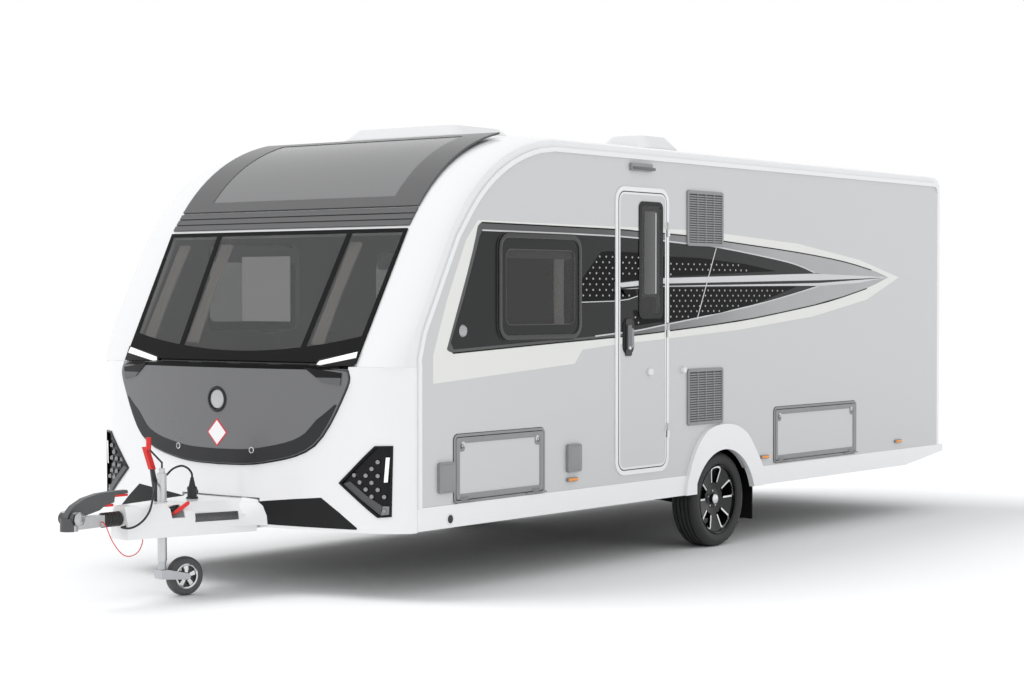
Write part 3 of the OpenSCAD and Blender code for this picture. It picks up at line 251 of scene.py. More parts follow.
floor_mesh = bpy.data.meshes.new("studio_floor")
floor_half = 60.0
floor_mesh.from_pydata([(-floor_half, -floor_half, 0), (floor_half, -floor_half, 0),
                        (floor_half, floor_half, 0), (-floor_half, floor_half, 0)],
                       [], [(0, 1, 2, 3)])
floor = in_scene(bpy.data.objects.new("studio_floor", floor_mesh))
EVEN = {"patches": 0.0, "gloss_change": 0.0}
floor_mesh.materials.append(finish("pale_floor", (0.98, 0.98, 0.98), 0.9, relief=0.0, **EVEN,
                                   Specular_IOR_Level=0.0))

# Making of dressing pieces. Each is a mesh in the frame, carries one finish and rides on the
# body of the part that holds it. Lengths along X are measured from the axle.
def piece(name, vertices, faces, material, body="body", smooth=True, bevel=0.0):
    """A mesh piece from points measured from the axle."""
    mesh = bpy.data.meshes.new(name)
    mesh.from_pydata([(x - FORE, y, z) for x, y, z in vertices], [], faces)
    made = bmesh.new()
    made.from_mesh(mesh)
    bmesh.ops.remove_doubles(made, verts=made.verts, dist=0.00001)
    bmesh.ops.recalc_face_normals(made, faces=made.faces)
    made.to_mesh(mesh)
    made.free()
    mesh.materials.append(material)
    thing = in_scene(bpy.data.objects.new(name, mesh))
    if bevel:
        edge = thing.modifiers.new("edge", "BEVEL")
        edge.width = bevel
        edge.segments = 2
        edge.limit_method = "ANGLE"
        edge.angle_limit = math.radians(35)
    if smooth:
        soften(thing)
    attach(thing, body)
    return thing


def curve_through(points, steps=4):
    """Points of a smooth line through the given ones."""
    out = []
    last = len(points) - 1
    for i in range(last):
        a, b, c, d = (np.array(points[n], float)
                      for n in (max(i - 1, 0), i, i + 1, min(i + 2, last)))
        for k in range(steps):
            t = k / steps
            out.append(tuple(0.5 * (2 * b + (c - a) * t + (2 * a - 5 * b + 4 * c - d) * t * t
                                    + (3 * b - a - 3 * c + d) * t ** 3)))
    return out + [tuple(float(v) for v in points[-1])]


def rounded(x0, x1, z0, z1, r, steps=6):
    """Outline of a rectangle with rounded corners."""
    out = []
    for cx, cz, start in ((x1 - r, z1 - r, 0), (x0 + r, z1 - r, 90), (x0 + r, z0 + r, 180),
                          (x1 - r, z0 + r, 270)):
        for k in range(steps + 1):
            turn = math.radians(start + 90 * k / steps)
            out.append((cx + r * math.cos(turn), cz + r * math.sin(turn)))
    return out


def loft(rings):
    """Vertices and faces of a skin over closed rings of points, shut at both ends."""
    count = len(rings[0])
    vertices = [point for ring in rings for point in ring]
    faces = [tuple(range(count)), tuple(range(len(vertices) - 1, len(vertices) - count - 1, -1))]
    for start in range(0, len(vertices) - count, count):
        for k in range(count):
            n = (k + 1) % count
            faces.append((start + k, start + n, start + count + n, start + count + k))
    return vertices, faces


def slab(outline, y0, y1):
    """Vertices and faces of an outline of X and Z with thickness from y0 to y1."""
    return loft([[(x, y, z) for x, z in outline] for y in (y0, y1)])


def band(outer, inner, y0, y1):
    """Vertices and faces of a closed ring between two outlines of the same length."""
    count = len(outer)
    vertices = [(x, y, z) for line, y in ((outer, y0), (outer, y1), (inner, y0), (inner, y1))
                for x, z in line]
    faces = []
    for k in range(count):
        n = (k + 1) % count
        for a, b in ((0, 1), (1, 3), (3, 2), (2, 0)):
            faces.append((a * count + k, a * count + n, b * count + n, b * count + k))
    return vertices, faces


def box_mesh(low, high):
    """Vertices and faces of a block between two corners."""
    (x0, y0, z0), (x1, y1, z1) = low, high
    return slab([(x0, z0), (x1, z0), (x1, z1), (x0, z1)], y0, y1)


def turned(profile, centre, axis, steps=24):
    """Vertices and faces of a profile of (radius, height) turned about an axis at centre."""
    axis = Vector(axis).normalized()
    side = axis.orthogonal().normalized()
    up = axis.cross(side)
    rings = []
    for radius, height in profile:
        turns = [2 * math.pi * k / steps for k in range(steps)]
        rings.append([Vector(centre) + axis * height
                      + (side * math.cos(turn) + up * math.sin(turn)) * radius for turn in turns])
    return loft(rings)


def several(parts):
    """Joins several (vertices, faces) into one."""
    vertices, faces = [], []
    for points, polygons in parts:
        faces += [tuple(k + len(vertices) for k in polygon) for polygon in polygons]
        vertices += points
    return vertices, faces


def tube(name, points, radius, material, closed=False, steps=3):
    """A round bead or rod along points, as a curve."""
    line = bpy.data.curves.new(name, "CURVE")
    line.dimensions = "3D"
    line.bevel_depth = radius
    line.bevel_resolution = steps
    line.use_fill_caps = True
    spline = line.splines.new("POLY")
    spline.points.add(len(points) - 1)
    for point, (x, y, z) in zip(spline.points, points):
        point.co = (x - FORE, y, z, 1)
    spline.use_cyclic_u = closed
    line.materials.append(material)
    thing = in_scene(bpy.data.objects.new(name, line))
    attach(thing, "body")
    return thing


# Body mouldings. The front, roof, rear and skirts are thermoformed in glossy white plastic with
# a faint orange peel; the side walls are a satin light grey laminate skin on the sandwich.
HALF = 1.142
MOULDED = {**EVEN, "relief": 0.01, "Coat_Weight": 0.3, "Coat_Roughness": 0.06}
white_moulding = finish("white_moulding", (0.86, 0.86, 0.865), 0.22, **MOULDED)
dress(white_moulding, "front_panel", "rear_panel", "side_skirts", "drawbar_cover")
# The rooflights are toned greyer than the other white mouldings: painted shade standing in for the
# shade on their edges.
hatch_white_painted_shade = finish("hatch_white_painted_shade", (0.76, 0.76, 0.765), 0.25, patches=0.0, relief=0.01)
dress(hatch_white_painted_shade, "rooflights")
# The surround and roof are the same white plastic as the other mouldings, toned a little darker as
# painted shade because they tilt up to the light.
surround = finish("surround_white_painted_shade", (0.81, 0.81, 0.815), 0.22, **MOULDED)
dress(surround, "front_surround", "roof_panel")
paint(surround, (0.008, 0.008, 0.009), (3.0, -0.84, 1.19), (3.26, 0.84, 1.216))
wall_skin, locker_skin = (finish(name, (0.6, 0.602, 0.605), 0.3, relief=0.008, **EVEN)
                          for name in ("wall_skin", "locker_skin"))
dress(wall_skin, "side_wall_left", "side_wall_right", "entry_door")
dress(locker_skin, "service_door_front", "service_door_rear", "service_door_toilet")
for low, high in (((1.8, 1.1, 0.4), (2.8, 1.3, 0.513)), ((-1.8, 1.1, 0.4), (-0.5, 1.3, 0.521)),
                  ((-2.7, -1.3, 0.4), (-2.15, -1.1, 0.583))):
    paint(locker_skin, (0.2, 0.2, 0.205), low, high)
white_aluminium = finish("white_aluminium", (0.84, 0.845, 0.85), 0.24, relief=0.01, **EVEN)
dress(white_aluminium, "awning_rails", "door_frame")

# Glass and acrylic. The panes are grey tinted, show the cabin dimly and mirror the white studio.
# The black frames are printed glass edges, and the trim between glass and roof window is grey.
tinted = finish("tinted_acrylic", (0.05, 0.05, 0.052), 0.04, patches=0.05, relief=0.0,
                Alpha=0.5, Specular_IOR_Level=0.3)
dress(tinted, "wall_windows", "door_window")
front_glass = finish("front_acrylic", (0.08, 0.081, 0.082), 0.04, patches=0.3,
                     patch_scale=0.9, relief=0.0, Alpha=0.47, Specular_IOR_Level=0.4)
dress(front_glass, "front_window_panes")
paint(front_glass, (0.23, 0.23, 0.232), (1.6, -1, 1.95), (2.8, 1, 2.6), Alpha=0.85)
window_black = finish("window_black", (0.004, 0.004, 0.004), 0.3, relief=0.0,
                      Specular_IOR_Level=0.12)
dress(window_black, "front_window_frame")
paint(window_black, (0.10, 0.10, 0.102), (1.6, -1.2, 1.921), (2.8, 1.2, 2.6),
      Specular_IOR_Level=0.4)
lamp_black = finish("lamp_black", (0.008, 0.008, 0.009), 0.25, relief=0.0,
                    Specular_IOR_Level=0.2)
dress(lamp_black, "lid_lamps", "corner_pods")
paint(lamp_black, (0.14, 0.14, 0.145), (3.0, -1.0, 1.0), (3.3, 1.0, 1.143), Metallic=0.4)
black_plastic = finish("black_plastic", (0.008, 0.008, 0.009), 0.4,
                       Specular_IOR_Level=0.25)
dress(black_plastic, "front_grilles", "wheel_housings")
satin_grey = finish("satin_grey", (0.27, 0.27, 0.28), 0.42, patches=0.03)
dress(satin_grey, "locker_frames", "wall_fittings", "fridge_vents")
chrome = finish("chrome", (0.72, 0.72, 0.73), 0.12, patches=0.0, relief=0.0, Metallic=1.0)
brushed = finish("brushed_silver", (0.5, 0.5, 0.51), 0.3, patches=0.02, relief=0.02,
                 Metallic=0.9)
lamp_white = finish("lamp_white", (0.9, 0.9, 0.9), 0.1, relief=0.0,
                    Emission_Color=(1, 1, 1, 1), Emission_Strength=0.25)
seal_black = finish("seal_black", (0.02, 0.02, 0.021), 0.5)
trim_white = finish("trim_white", (0.8, 0.8, 0.8), 0.25, patches=0.0)

# The locker lid is painted in a dark metallic grey. A darker band along its lower edge, where the
# lid folds under, is painted shade; two round locks sit on it, and a plain disc in a dark ring and
# a blank hazard diamond stand in its middle.
lid_paint = finish("lid_paint", (0.16, 0.16, 0.165), 0.28, patches=0.02, grain=400.0,
                   relief=0.02, Metallic=0.4, Coat_Weight=0.2, Coat_Roughness=0.1)
dress(lid_paint, "gas_locker_lid")
paint(lid_paint, (0.004, 0.004, 0.004), (3.0, -1.0, 1.183), (3.4, 1.0, 1.3), Metallic=0.0,
      Coat_Weight=0.0, Specular_IOR_Level=0.1)
lid_dark_and_painted_shade = finish("lid_dark_and_painted_shade", (0.02, 0.02, 0.022), 0.3, relief=0.0,
                        Specular_IOR_Level=0.3)

# The front panel's face in the middle, twice the radius of its bow, and its rounded corners:
# where they begin, how wide they are and how far they go back.
PANEL_X, BOW = 3.262, 7.7
CORNER_Y, CORNER_WIDE, CORNER_DEEP = 0.905, 0.237, 0.083


def front_x(y, out):
    """X of the bowed front at y, out from the white panel's face."""
    y = abs(y)
    corner = min(1.0, max(0.0, (y - CORNER_Y) / CORNER_WIDE))
    return PANEL_X + out - y * y / BOW - CORNER_DEEP * (1 - math.sqrt(1 - corner * corner))


def front_strip(name, outer, inner, out, thick, material, body="body"):
    """A skin on the bowed front between two lines of the same number of (y, z) points."""
    rows = 3
    vertices, faces = [], []
    count = len(outer)
    for depth in (out, out - thick):
        for r in range(rows + 1):
            for (y0, z0), (y1, z1) in zip(outer, inner):
                y, z = y0 + (y1 - y0) * r / rows, z0 + (z1 - z0) * r / rows
                vertices.append((front_x(y, depth), y, z))
    layer = (rows + 1) * count
    for r in range(rows):
        for k in range(count - 1):
            a = r * count + k
            faces.append((a, a + 1, a + count + 1, a + count))
            faces.append((a + layer, a + layer + count, a + layer + count + 1, a + layer + 1))
    edge = (list(range(count)) + [r * count + count - 1 for r in range(1, rows + 1)]
            + [rows * count + k for k in range(count - 2, -1, -1)]
            + [r * count for r in range(rows - 1, 0, -1)])
    for k, a in enumerate(edge):
        b = edge[(k + 1) % len(edge)]
        faces.append((a, a + layer, b + layer, b))
    piece(name, vertices, faces, material, body)


def front_disc(name, y, z, profile, material, steps=32):
    """A small turned piece on the lid, square to the bowed front."""
    piece(name, *turned(profile, (front_x(y, 0.011), y, z), (1, 2 * y / BOW, 0), steps),
          material, "gas_lid")


# The dark band along the lid's folded lower edge is painted shade.
low_line = curve_through([(0, 0.673), (0.319, 0.691), (0.644, 0.793), (0.832, 1.085),
                          (0.838, 1.12)], 6)
low_line = [(y, z) for y, z in low_line if z < 1.02]
low_line = [(-y, z) for y, z in low_line[:0:-1]] + low_line
in_line = []
for k, (y, z) in enumerate(low_line):
    y0, z0 = low_line[max(k - 1, 0)]
    y1, z1 = low_line[min(k + 1, len(low_line) - 1)]
    size = math.hypot(y1 - y0, z1 - z0)
    wide = 0.078 * min(1.0, max(0.03, (1.03 - z) / 0.16))
    in_line.append((y - (z1 - z0) / size * wide, z + (y1 - y0) / size * wide))
low_line = [(y * 0.997, z + 0.003) for y, z in low_line]
front_strip("lid_painted_shade_band", low_line, in_line, 0.0124, 0.0016, lid_dark_and_painted_shade, "gas_lid")
for side, y in (("left", 0.25), ("right", -0.305)):
    front_disc(f"lid_lock_{side}", y, 0.753, [(0.0, 0.004), (0.010, 0.004), (0.011, 0.001),
                                             (0.013, 0.007), (0.017, 0.006), (0.018, 0.0)],
               chrome)
    front_disc(f"lid_lock_core_{side}", y, 0.753, [(0.0, 0.0055), (0.0095, 0.0055),
                                                   (0.0098, 0.0)], seal_black)
front_disc("lid_badge_ring", 0.0, 1.015, [(0.053, 0.0), (0.054, 0.006), (0.059, 0.0085),
                                          (0.066, 0.006), (0.070, 0.0)], lid_dark_and_painted_shade, 48)
front_disc("lid_badge_plain", 0.0, 1.015, [(0.0, 0.0085), (0.025, 0.008), (0.044, 0.005),
                                           (0.052, 0.0)], brushed, 48)
DIAMOND_Z, DIAMOND_HALF = 0.838, 0.075
for name, scale, out, colour in (("red", 1.0, 0.0122, (0.72, 0.02, 0.04)),
                                 ("white", 0.86, 0.0132, (0.9, 0.9, 0.9))):
    half = DIAMOND_HALF * scale
    front_strip(f"hazard_diamond_{name}", [(-half, DIAMOND_Z), (0.0, DIAMOND_Z + half)],
                [(0.0, DIAMOND_Z - half), (half, DIAMOND_Z)], out, 0.001,
                finish(f"sign_{name}", colour, 0.3), "gas_lid")

# Slim white running lamps slope up over the black foot of the glazing, and the studded corner
# recesses hold a black floor, metal studs, a lamp and a grey foot.
SIDES = (("left", 1), ("right", -1))
GLASS_X, GLASS_Z, GLASS_LEAN = 3.135, 1.2, 0.5411
pod_metal = finish("pod_metal", (0.3, 0.3, 0.31), 0.2, patches=0.0, relief=0.0, Metallic=1.0)
foot_grey = finish("foot_grey", (0.075, 0.075, 0.078), 0.35)


def glass_plate(name, corners, out, thick, material):
    """A flat plate on the raked plane of the front glass from (y, z) corners."""
    piece(name, *loft([[(GLASS_X + depth - GLASS_LEAN * (z - GLASS_Z), y, z) for y, z in corners]
                       for depth in (out, out - thick)]), material, bevel=0.001)


for side, k in SIDES:
    glass_plate(f"running_lamp_{side}", [(k * 0.60, 1.207), (k * 0.628, 1.204),
                                         (k * 0.857, 1.246), (k * 0.853, 1.277),
                                         (k * 0.612, 1.226)], 0.0152, 0.003, lamp_white)
    glass_plate(f"running_lamp_rim_{side}", [(k * 0.585, 1.2035), (k * 0.862, 1.2035),
                                             (k * 0.868, 1.283), (k * 0.603, 1.234)],
                0.0138, 0.002, black_plastic)
pod_in = [(0.812, 0.601), (1.0, 0.785), (1.066, 0.787), (1.059, 0.45), (1.014, 0.445)]


def between(outline, y, z):
    """Whether the point lies inside the outline."""
    hits = False
    for (y0, z0), (y1, z1) in zip(outline, outline[1:] + outline[:1]):
        if (z0 > z) != (z1 > z) and y < (y1 - y0) * (z - z0) / (z1 - z0) + y0:
            hits = not hits
    return hits


def stud(centre, axis, radius, height):
    """A small faceted stud."""
    return turned([(radius, 0.0), (radius * 0.72, height * 0.7), (0.0006, height)], centre,
                  axis, 8)


for side, k in SIDES:
    studs = []
    for row in range(14):
        z = 0.468 + row * 0.0355
        for column in range(7):
            y = 0.78 + (column + (row % 2) / 2) * 0.0625
            near = [(y + dy, z + dz) for dy, dz in ((0.013, 0), (-0.013, 0), (0, 0.013),
                                                    (0, -0.013))]
            on_foot = z < 0.665 - (y - 0.80) * 0.79 and y < 1.02
            on_lamp = y > 1.018 and 0.59 < z < 0.765
            if on_foot or on_lamp or not all(between(pod_in, *p) for p in near):
                continue
            turn = k * 2 * y / BOW + (k * 0.3 if y > CORNER_Y else 0)
            studs.append(stud((front_x(y, -0.009), k * y, z), (1, turn, 0), 0.0155, 0.014))
    piece(f"pod_studs_{side}", *several(studs), pod_metal)
    front_strip(f"pod_lamp_{side}", [(k * 1.036, 0.613), (k * 1.0455, 0.740)],
                [(k * 1.0525, 0.614), (k * 1.062, 0.741)], 0.0055, 0.003, lamp_white)
    front_strip(f"pod_foot_{side}", [(k * 0.811, 0.5985), (k * 0.912, 0.5205),
                                     (k * 1.013, 0.4435)],
                [(k * 0.850, 0.612), (k * 0.937, 0.546), (k * 1.023, 0.490)], -0.003, 0.006,
                foot_grey)
    front_strip(f"pod_toe_{side}", [(k * 1.016, 0.4435), (k * 1.0575, 0.4485)],
                [(k * 1.026, 0.490), (k * 1.0605, 0.490)], -0.003, 0.006, satin_grey)
    front_strip(f"grille_skin_{side}",
                [(k * y, z) for y, z in ((0.20, 0.474), (0.36, 0.492), (0.52, 0.508),
                                         (0.683, 0.522), (0.79, 0.45), (0.893, 0.374))],
                [(k * y, z) for y, z in ((0.30, 0.3655), (0.45, 0.3655), (0.56, 0.3655),
                                         (0.68, 0.3655), (0.79, 0.3655), (0.889, 0.3655))],
                0.0012, 0.0010, black_plastic)
    rings = []
    for x, wide, top in ((3.43, 0.232, 0.385), (3.40, 0.246, 0.41), (3.35, 0.270, 0.45),
                         (3.30, 0.297, 0.482), (3.262, 0.330, 0.498), (3.2475, 0.345, 0.500)):
        rise = top - 0.362
        rings.append([(x, k * (wide - dy), 0.362 + rise * h) for dy, h in (
            (0.16, 0.0), (0.0, 0.0), (0.006, 0.35), (0.03, 0.72), (0.075, 0.95), (0.16, 1.0))])
    piece(f"cover_flare_{side}", *loft(rings), white_moulding)

# Side graphic. Swept bands of dark and silver run from the front window to a point at the rear
# on a pale ground, with fields of small studs. Where they cross the door they ride on the door.
DOOR = (0.669, 1.177)
graphic_dark = finish("graphic_dark", (0.017, 0.0175, 0.018), 0.25, relief=0.0, patches=0.1,
                      Specular_IOR_Level=0.2)
graphic_black = finish("graphic_black", (0.004, 0.004, 0.004), 0.4, relief=0.0,
                       Specular_IOR_Level=0.08)
graphic_pale = finish("graphic_pale", (0.78, 0.78, 0.75), 0.3, relief=0.0, patches=0.0)
graphic_rim = finish("graphic_rim", (0.42, 0.42, 0.425), 0.3, relief=0.0, patches=0.3,
                     patch_scale=1.2, Specular_IOR_Level=0.3)
fade(graphic_rim, -0.6, 1.3, (0.09, 0.09, 0.092))
graphic_silver = finish("graphic_silver", (0.62, 0.62, 0.63), 0.22, relief=0.0, patches=0.3,
                        patch_scale=1.5)
window_rim = finish("window_rim", (0.03, 0.03, 0.031), 0.2, relief=0.0,
                    Specular_IOR_Level=0.5)

# The foils leave the glass of the side window and of the door window free: (x, z) corners.
GLAZED = (((1.59, 1.362), (2.27, 1.866)), ((0.735, 1.452), (0.947, 2.098)))


def decal(name, outline, material, layer):
    """A foil on the door side, cut at the door's edges; its part on the door rides with it."""
    for part, x0, x1, body, y in (("rear", -9.0, DOOR[0] - 0.001, "body", HALF),
                                  ("door", DOOR[0] + 0.007, DOOR[1] - 0.007, "entry_door",
                                   HALF + 0.006),
                                  ("front", DOOR[1] + 0.001, 9.0, "body", HALF)):
        made = bmesh.new()
        corners = [made.verts.new((x, y + 0.0003 + 0.0004 * layer, z)) for x, z in outline]
        made.faces.new(corners)
        bmesh.ops.triangulate(made, faces=made.faces)
        for x, way in ((x0, -1), (x1, 1)):
            bmesh.ops.bisect_plane(made, geom=made.verts[:] + made.edges[:] + made.faces[:],
                                   plane_co=(x, 0, 0), plane_no=(way, 0, 0), clear_outer=True)
        for low, high in GLAZED:
            for corner in (low, high):
                for plane_no in ((1, 0, 0), (0, 0, 1)):
                    bmesh.ops.bisect_plane(made, geom=made.verts[:] + made.edges[:]
                                           + made.faces[:], plane_no=plane_no,
                                           plane_co=(corner[0], 0, corner[1]))
            inside_hole = [f for f in made.faces
                           if low[0] < f.calc_center_median().x < high[0]
                           and low[1] < f.calc_center_median().z < high[1]]
            bmesh.ops.delete(made, geom=inside_hole, context="FACES")
        made.verts.index_update()
        points = [tuple(v.co) for v in made.verts]
        faces = [tuple(v.index for v in f.verts) for f in made.faces]
        made.free()
        if faces:
            piece(f"{name}_{part}", points, faces, material, body, smooth=False)


decal("graphic_ground", [(2.475, 1.966), (1.211, 1.965), (0.401, 1.965), (0.006, 1.952),
                         (-0.909, 1.908), (-1.752, 1.815), (-2.346, 1.698), (-1.864, 1.54),
                         (-1.113, 1.429), (-0.141, 1.35), (0.729, 1.306), (1.21, 1.283),
                         (1.524, 1.26), (1.598, 1.183), (2.619, 1.123), (2.849, 1.11),
                         (2.849, 1.259), (2.735, 1.543), (2.577, 1.858)], graphic_pale, 0)
rim_top = [(2.443, 1.956), (1.208, 1.951), (0.979, 1.945), (0.439, 1.932), (0.024, 1.908),
           (-0.909, 1.853), (-1.534, 1.801), (-1.93, 1.748), (-2.183, 1.697)]
rim_low = [(-2.183, 1.697), (-1.864, 1.62), (-1.322, 1.531), (-0.712, 1.462), (-0.141, 1.408),
           (0.729, 1.352), (1.207, 1.328), (1.739, 1.307), (2.285, 1.284), (2.69, 1.267)]
rim_front = [(2.69, 1.267), (2.733, 1.283), (2.723, 1.319), (2.627, 1.543), (2.543, 1.743),
             (2.492, 1.886), (2.475, 1.935), (2.443, 1.956)]
decal("graphic_rim", curve_through(rim_top, 3)[:-1] + curve_through(rim_low, 3)[:-1]
      + curve_through(rim_front, 3)[:-1], graphic_rim, 1)
dark_top = [(2.44, 1.913), (1.211, 1.91), (0.401, 1.88), (0.06, 1.865), (-0.612, 1.804),
            (-0.909, 1.767), (-1.133, 1.719)]
dark_low = [(-1.196, 1.633), (-0.81, 1.571), (-0.327, 1.503), (0.392, 1.422), (0.729, 1.388),
            (1.005, 1.36), (1.4, 1.335), (1.739, 1.322), (2.285, 1.3), (2.68, 1.284)]
decal("graphic_field", curve_through(dark_top, 3) + [(-1.6, 1.69), (-1.7, 1.67), (-1.6, 1.65)]
      + curve_through(dark_low, 3) + [(2.705, 1.32), (2.6, 1.545), (2.515, 1.745),
                                      (2.462, 1.88)], graphic_dark, 2)
decal("graphic_spear", [(1.17, 1.639), (0.73, 1.67), (-0.809, 1.707), (-1.133, 1.714),
                        (-2.181, 1.699), (-1.753, 1.656), (-1.216, 1.633), (-0.808, 1.632),
                        (0.73, 1.62), (1.17, 1.599)], graphic_silver, 3)
decal("graphic_spear_shade", [(1.17, 1.613), (0.73, 1.638), (-0.8, 1.664), (-1.2, 1.67),
                              (-2.06, 1.693), (-2.06, 1.69), (-1.2, 1.652), (-0.8, 1.645),
                              (0.73, 1.624), (1.17, 1.602)], graphic_dark, 4)
for name, line in (("graphic_pin_low", rim_low[1:]), ("graphic_pin_top", rim_top[:-1])):
    line = curve_through(line, 3)
    decal(name, [(x, z - 0.006) for x, z in line] + [(x, z + 0.001) for x, z in line[::-1]],
          graphic_black, 3)
for name, line in (("graphic_light_top", dark_top), ("graphic_light_low", dark_low[:-3])):
    line = curve_through(line, 3)
    decal(name, [(x, z - 0.004) for x, z in line] + [(x, z + 0.004) for x, z in line[::-1]],
          graphic_silver, 3)
decal("graphic_hairline", [(1.549, 1.531), (1.217, 1.537), (1.076, 1.547), (0.978, 1.566),
                           (0.978, 1.561), (1.076, 1.542), (1.217, 1.532), (1.549, 1.526)],
      graphic_silver, 5)
decal("graphic_slash", [(0.099, 1.86), (0.109, 1.86), (0.328, 1.421), (0.318, 1.421)],
      graphic_silver, 5)
fields = [[(1.549, 1.645), (1.345, 1.815), (1.282, 1.822), (0.943, 1.818), (0.73, 1.80),
           (0.73, 1.677), (1.18, 1.645)],
          [(1.549, 1.646), (1.18, 1.646), (1.18, 1.604), (1.0, 1.605), (0.985, 1.568),
           (1.08, 1.55), (1.22, 1.54), (1.549, 1.533)],
          [(0.73, 1.802), (0.287, 1.797), (-0.242, 1.767), (-0.627, 1.725), (0.73, 1.677)],
          [(0.73, 1.612), (-0.9, 1.628), (-0.428, 1.526), (0.055, 1.459), (0.511, 1.419),
           (0.729, 1.404)],
          [(1.026, 1.482), (0.73, 1.481), (0.729, 1.41), (1.005, 1.39)]]
for number, outline in enumerate(fields):
    decal(f"stud_field_{number}", outline, graphic_black, 3)
stud_metal = finish("stud_metal", (0.4, 0.4, 0.41), 0.24, patches=0.0, relief=0.0,
                    Metallic=1.0)
studs = {"body": [], "entry_door": []}
for row in range(14):
    z = 1.408 + row * 0.0318
    for column in range(42):
        x = -0.9 + (column + (row % 2) / 2) * 0.0645
        on_door = DOOR[0] + 0.02 < x < DOOR[1] - 0.02
        at_gap = not on_door and DOOR[0] - 0.035 < x < DOOR[1] + 0.035
        on_glass = on_door and 0.712 < x < 0.97
        on_field = any(between(outline, x, z - 0.012) and between(outline, x, z + 0.012)
                       for outline in fields)
        if on_field and not at_gap and not on_glass:
            studs["entry_door" if on_door else "body"].append(
                stud((x, HALF + (0.0078 if on_door else 0.0018), z), (0, 1, 0), 0.0068, 0.0035))
for body, parts in studs.items():
    piece(f"studs_on_{body}", *several(parts), stud_metal, body, smooth=False)


def button(name, x, y, z, profile, material, body="body", steps=24, k=1):
    """A small turned piece that stands out on side k, y from the caravan's middle."""
    piece(name, *turned(profile, (x, k * y, z), (0, k, 0), steps), material, body)


button("side_badge_plain", 2.602, HALF + 0.0012, 1.38,
       [(0.0, 0.003), (0.022, 0.003), (0.026, 0.0015), (0.029, 0.004), (0.033, 0.0)],
       stud_metal, steps=40)

# Windows. Each acrylic unit has a black printed edge round its clear middle and a rubber seal
# against the wall. The box of its blind and two catches stand behind it.
trim_grey = finish("trim_grey", (0.12, 0.12, 0.122), 0.3)
# The blinds behind the glass glow faintly: painted light for the daylight that comes through the
# windows onto them.
blind_grey_painted_glow = finish("blind_grey_painted_glow", (0.17, 0.17, 0.172), 0.8, patches=0.0, relief=0.0,
                    Emission_Color=(0.5, 0.5, 0.5, 1), Emission_Strength=0.08)


def grown(box, by, r):
    """A rectangle x0, x1, z0, z1 made larger by so much all round, with its corner radius."""
    x0, x1, z0, z1 = box
    return x0 - by, x1 + by, z0 - by, z1 + by, r


def plate(name, box, y0, y1, material, body="body", bevel=0.0, k=1):
    """A flat piece with rounded corners, its faces y0 and y1 off the wall of side k."""
    piece(name, *slab(rounded(*box), k * (HALF + y0), k * (HALF + y1)), material, body,
          bevel=bevel)


def rim(name, outer, inner, y0, y1, material, body="body", bevel=0.0, k=1):
    """A flat ring between two rounded outlines, its faces y0 and y1 off the wall of side k."""
    piece(name, *band(rounded(*outer), rounded(*inner), k * (HALF + y0), k * (HALF + y1)),
          material, body, bevel=bevel)


def bead(name, box, y, radius, material, k=1):
    """A round bead along a rounded outline, y off the wall of side k."""
    tube(name, [(x, k * (HALF + y), z) for x, z in rounded(*box)], radius, material,
         closed=True)


windows = {"side": ((1.564, 2.296, 1.339, 1.889), 1), "lounge": ((1.45, 2.25, 1.339, 1.889), -1),
           "kitchen": ((-0.06, 0.72, 1.42, 1.86), -1), "bed": ((-2.35, -1.65, 1.34, 1.86), -1)}
for name, (box, k) in windows.items():
    x0, x1, z0, z1 = box
    pane_in = (x0 + 0.048, x1 - 0.05, z0 + 0.068, z1 - 0.072, 0.045)
    rim(f"window_rim_{name}", grown(box, 0.0135, 0.0825), grown(box, -0.0125, 0.057),
        0.0135, 0.0151, window_rim, bevel=0.0007, k=k)
    bead(f"window_seal_{name}", grown(box, 0.0165, 0.085), 0.002, 0.004, seal_black, k)
    rim(f"window_print_{name}", grown(box, -0.014, 0.056), pane_in, 0.0094, 0.0100,
        graphic_dark, k=k)
    bead(f"window_bead_{name}", pane_in, 0.0102, 0.0014, trim_grey, k)
    plate(f"window_blind_{name}", (x0 + 0.02, x1 - 0.02, z1 - 0.12, z1 - 0.02, 0.02),
          -0.034, -0.031, blind_grey_painted_glow, k=k)
    for end, x in (("rear", x0 + 0.12), ("front", x1 - 0.12)):
        piece(f"window_catch_{name}_{end}",
              *box_mesh((x - 0.03, k * (HALF - 0.012), z0 + 0.03),
                        (x + 0.03, k * (HALF - 0.002), z0 + 0.05)), black_plastic, bevel=0.002)
tube("window_seal_rear", [(-3.0522, y, z) for y, z in rounded(-0.5765, 0.5765, 1.3235, 1.8765,
                                                             0.106)], 0.004, seal_black,
     closed=True)
vertices, faces = band(rounded(-0.572, 0.572, 1.328, 1.872, 0.1),
                       rounded(-0.53, 0.53, 1.37, 1.83, 0.07), -3.0595, -3.0601)
piece("window_print_rear", [(y, x, z) for x, y, z in vertices], faces, graphic_dark)

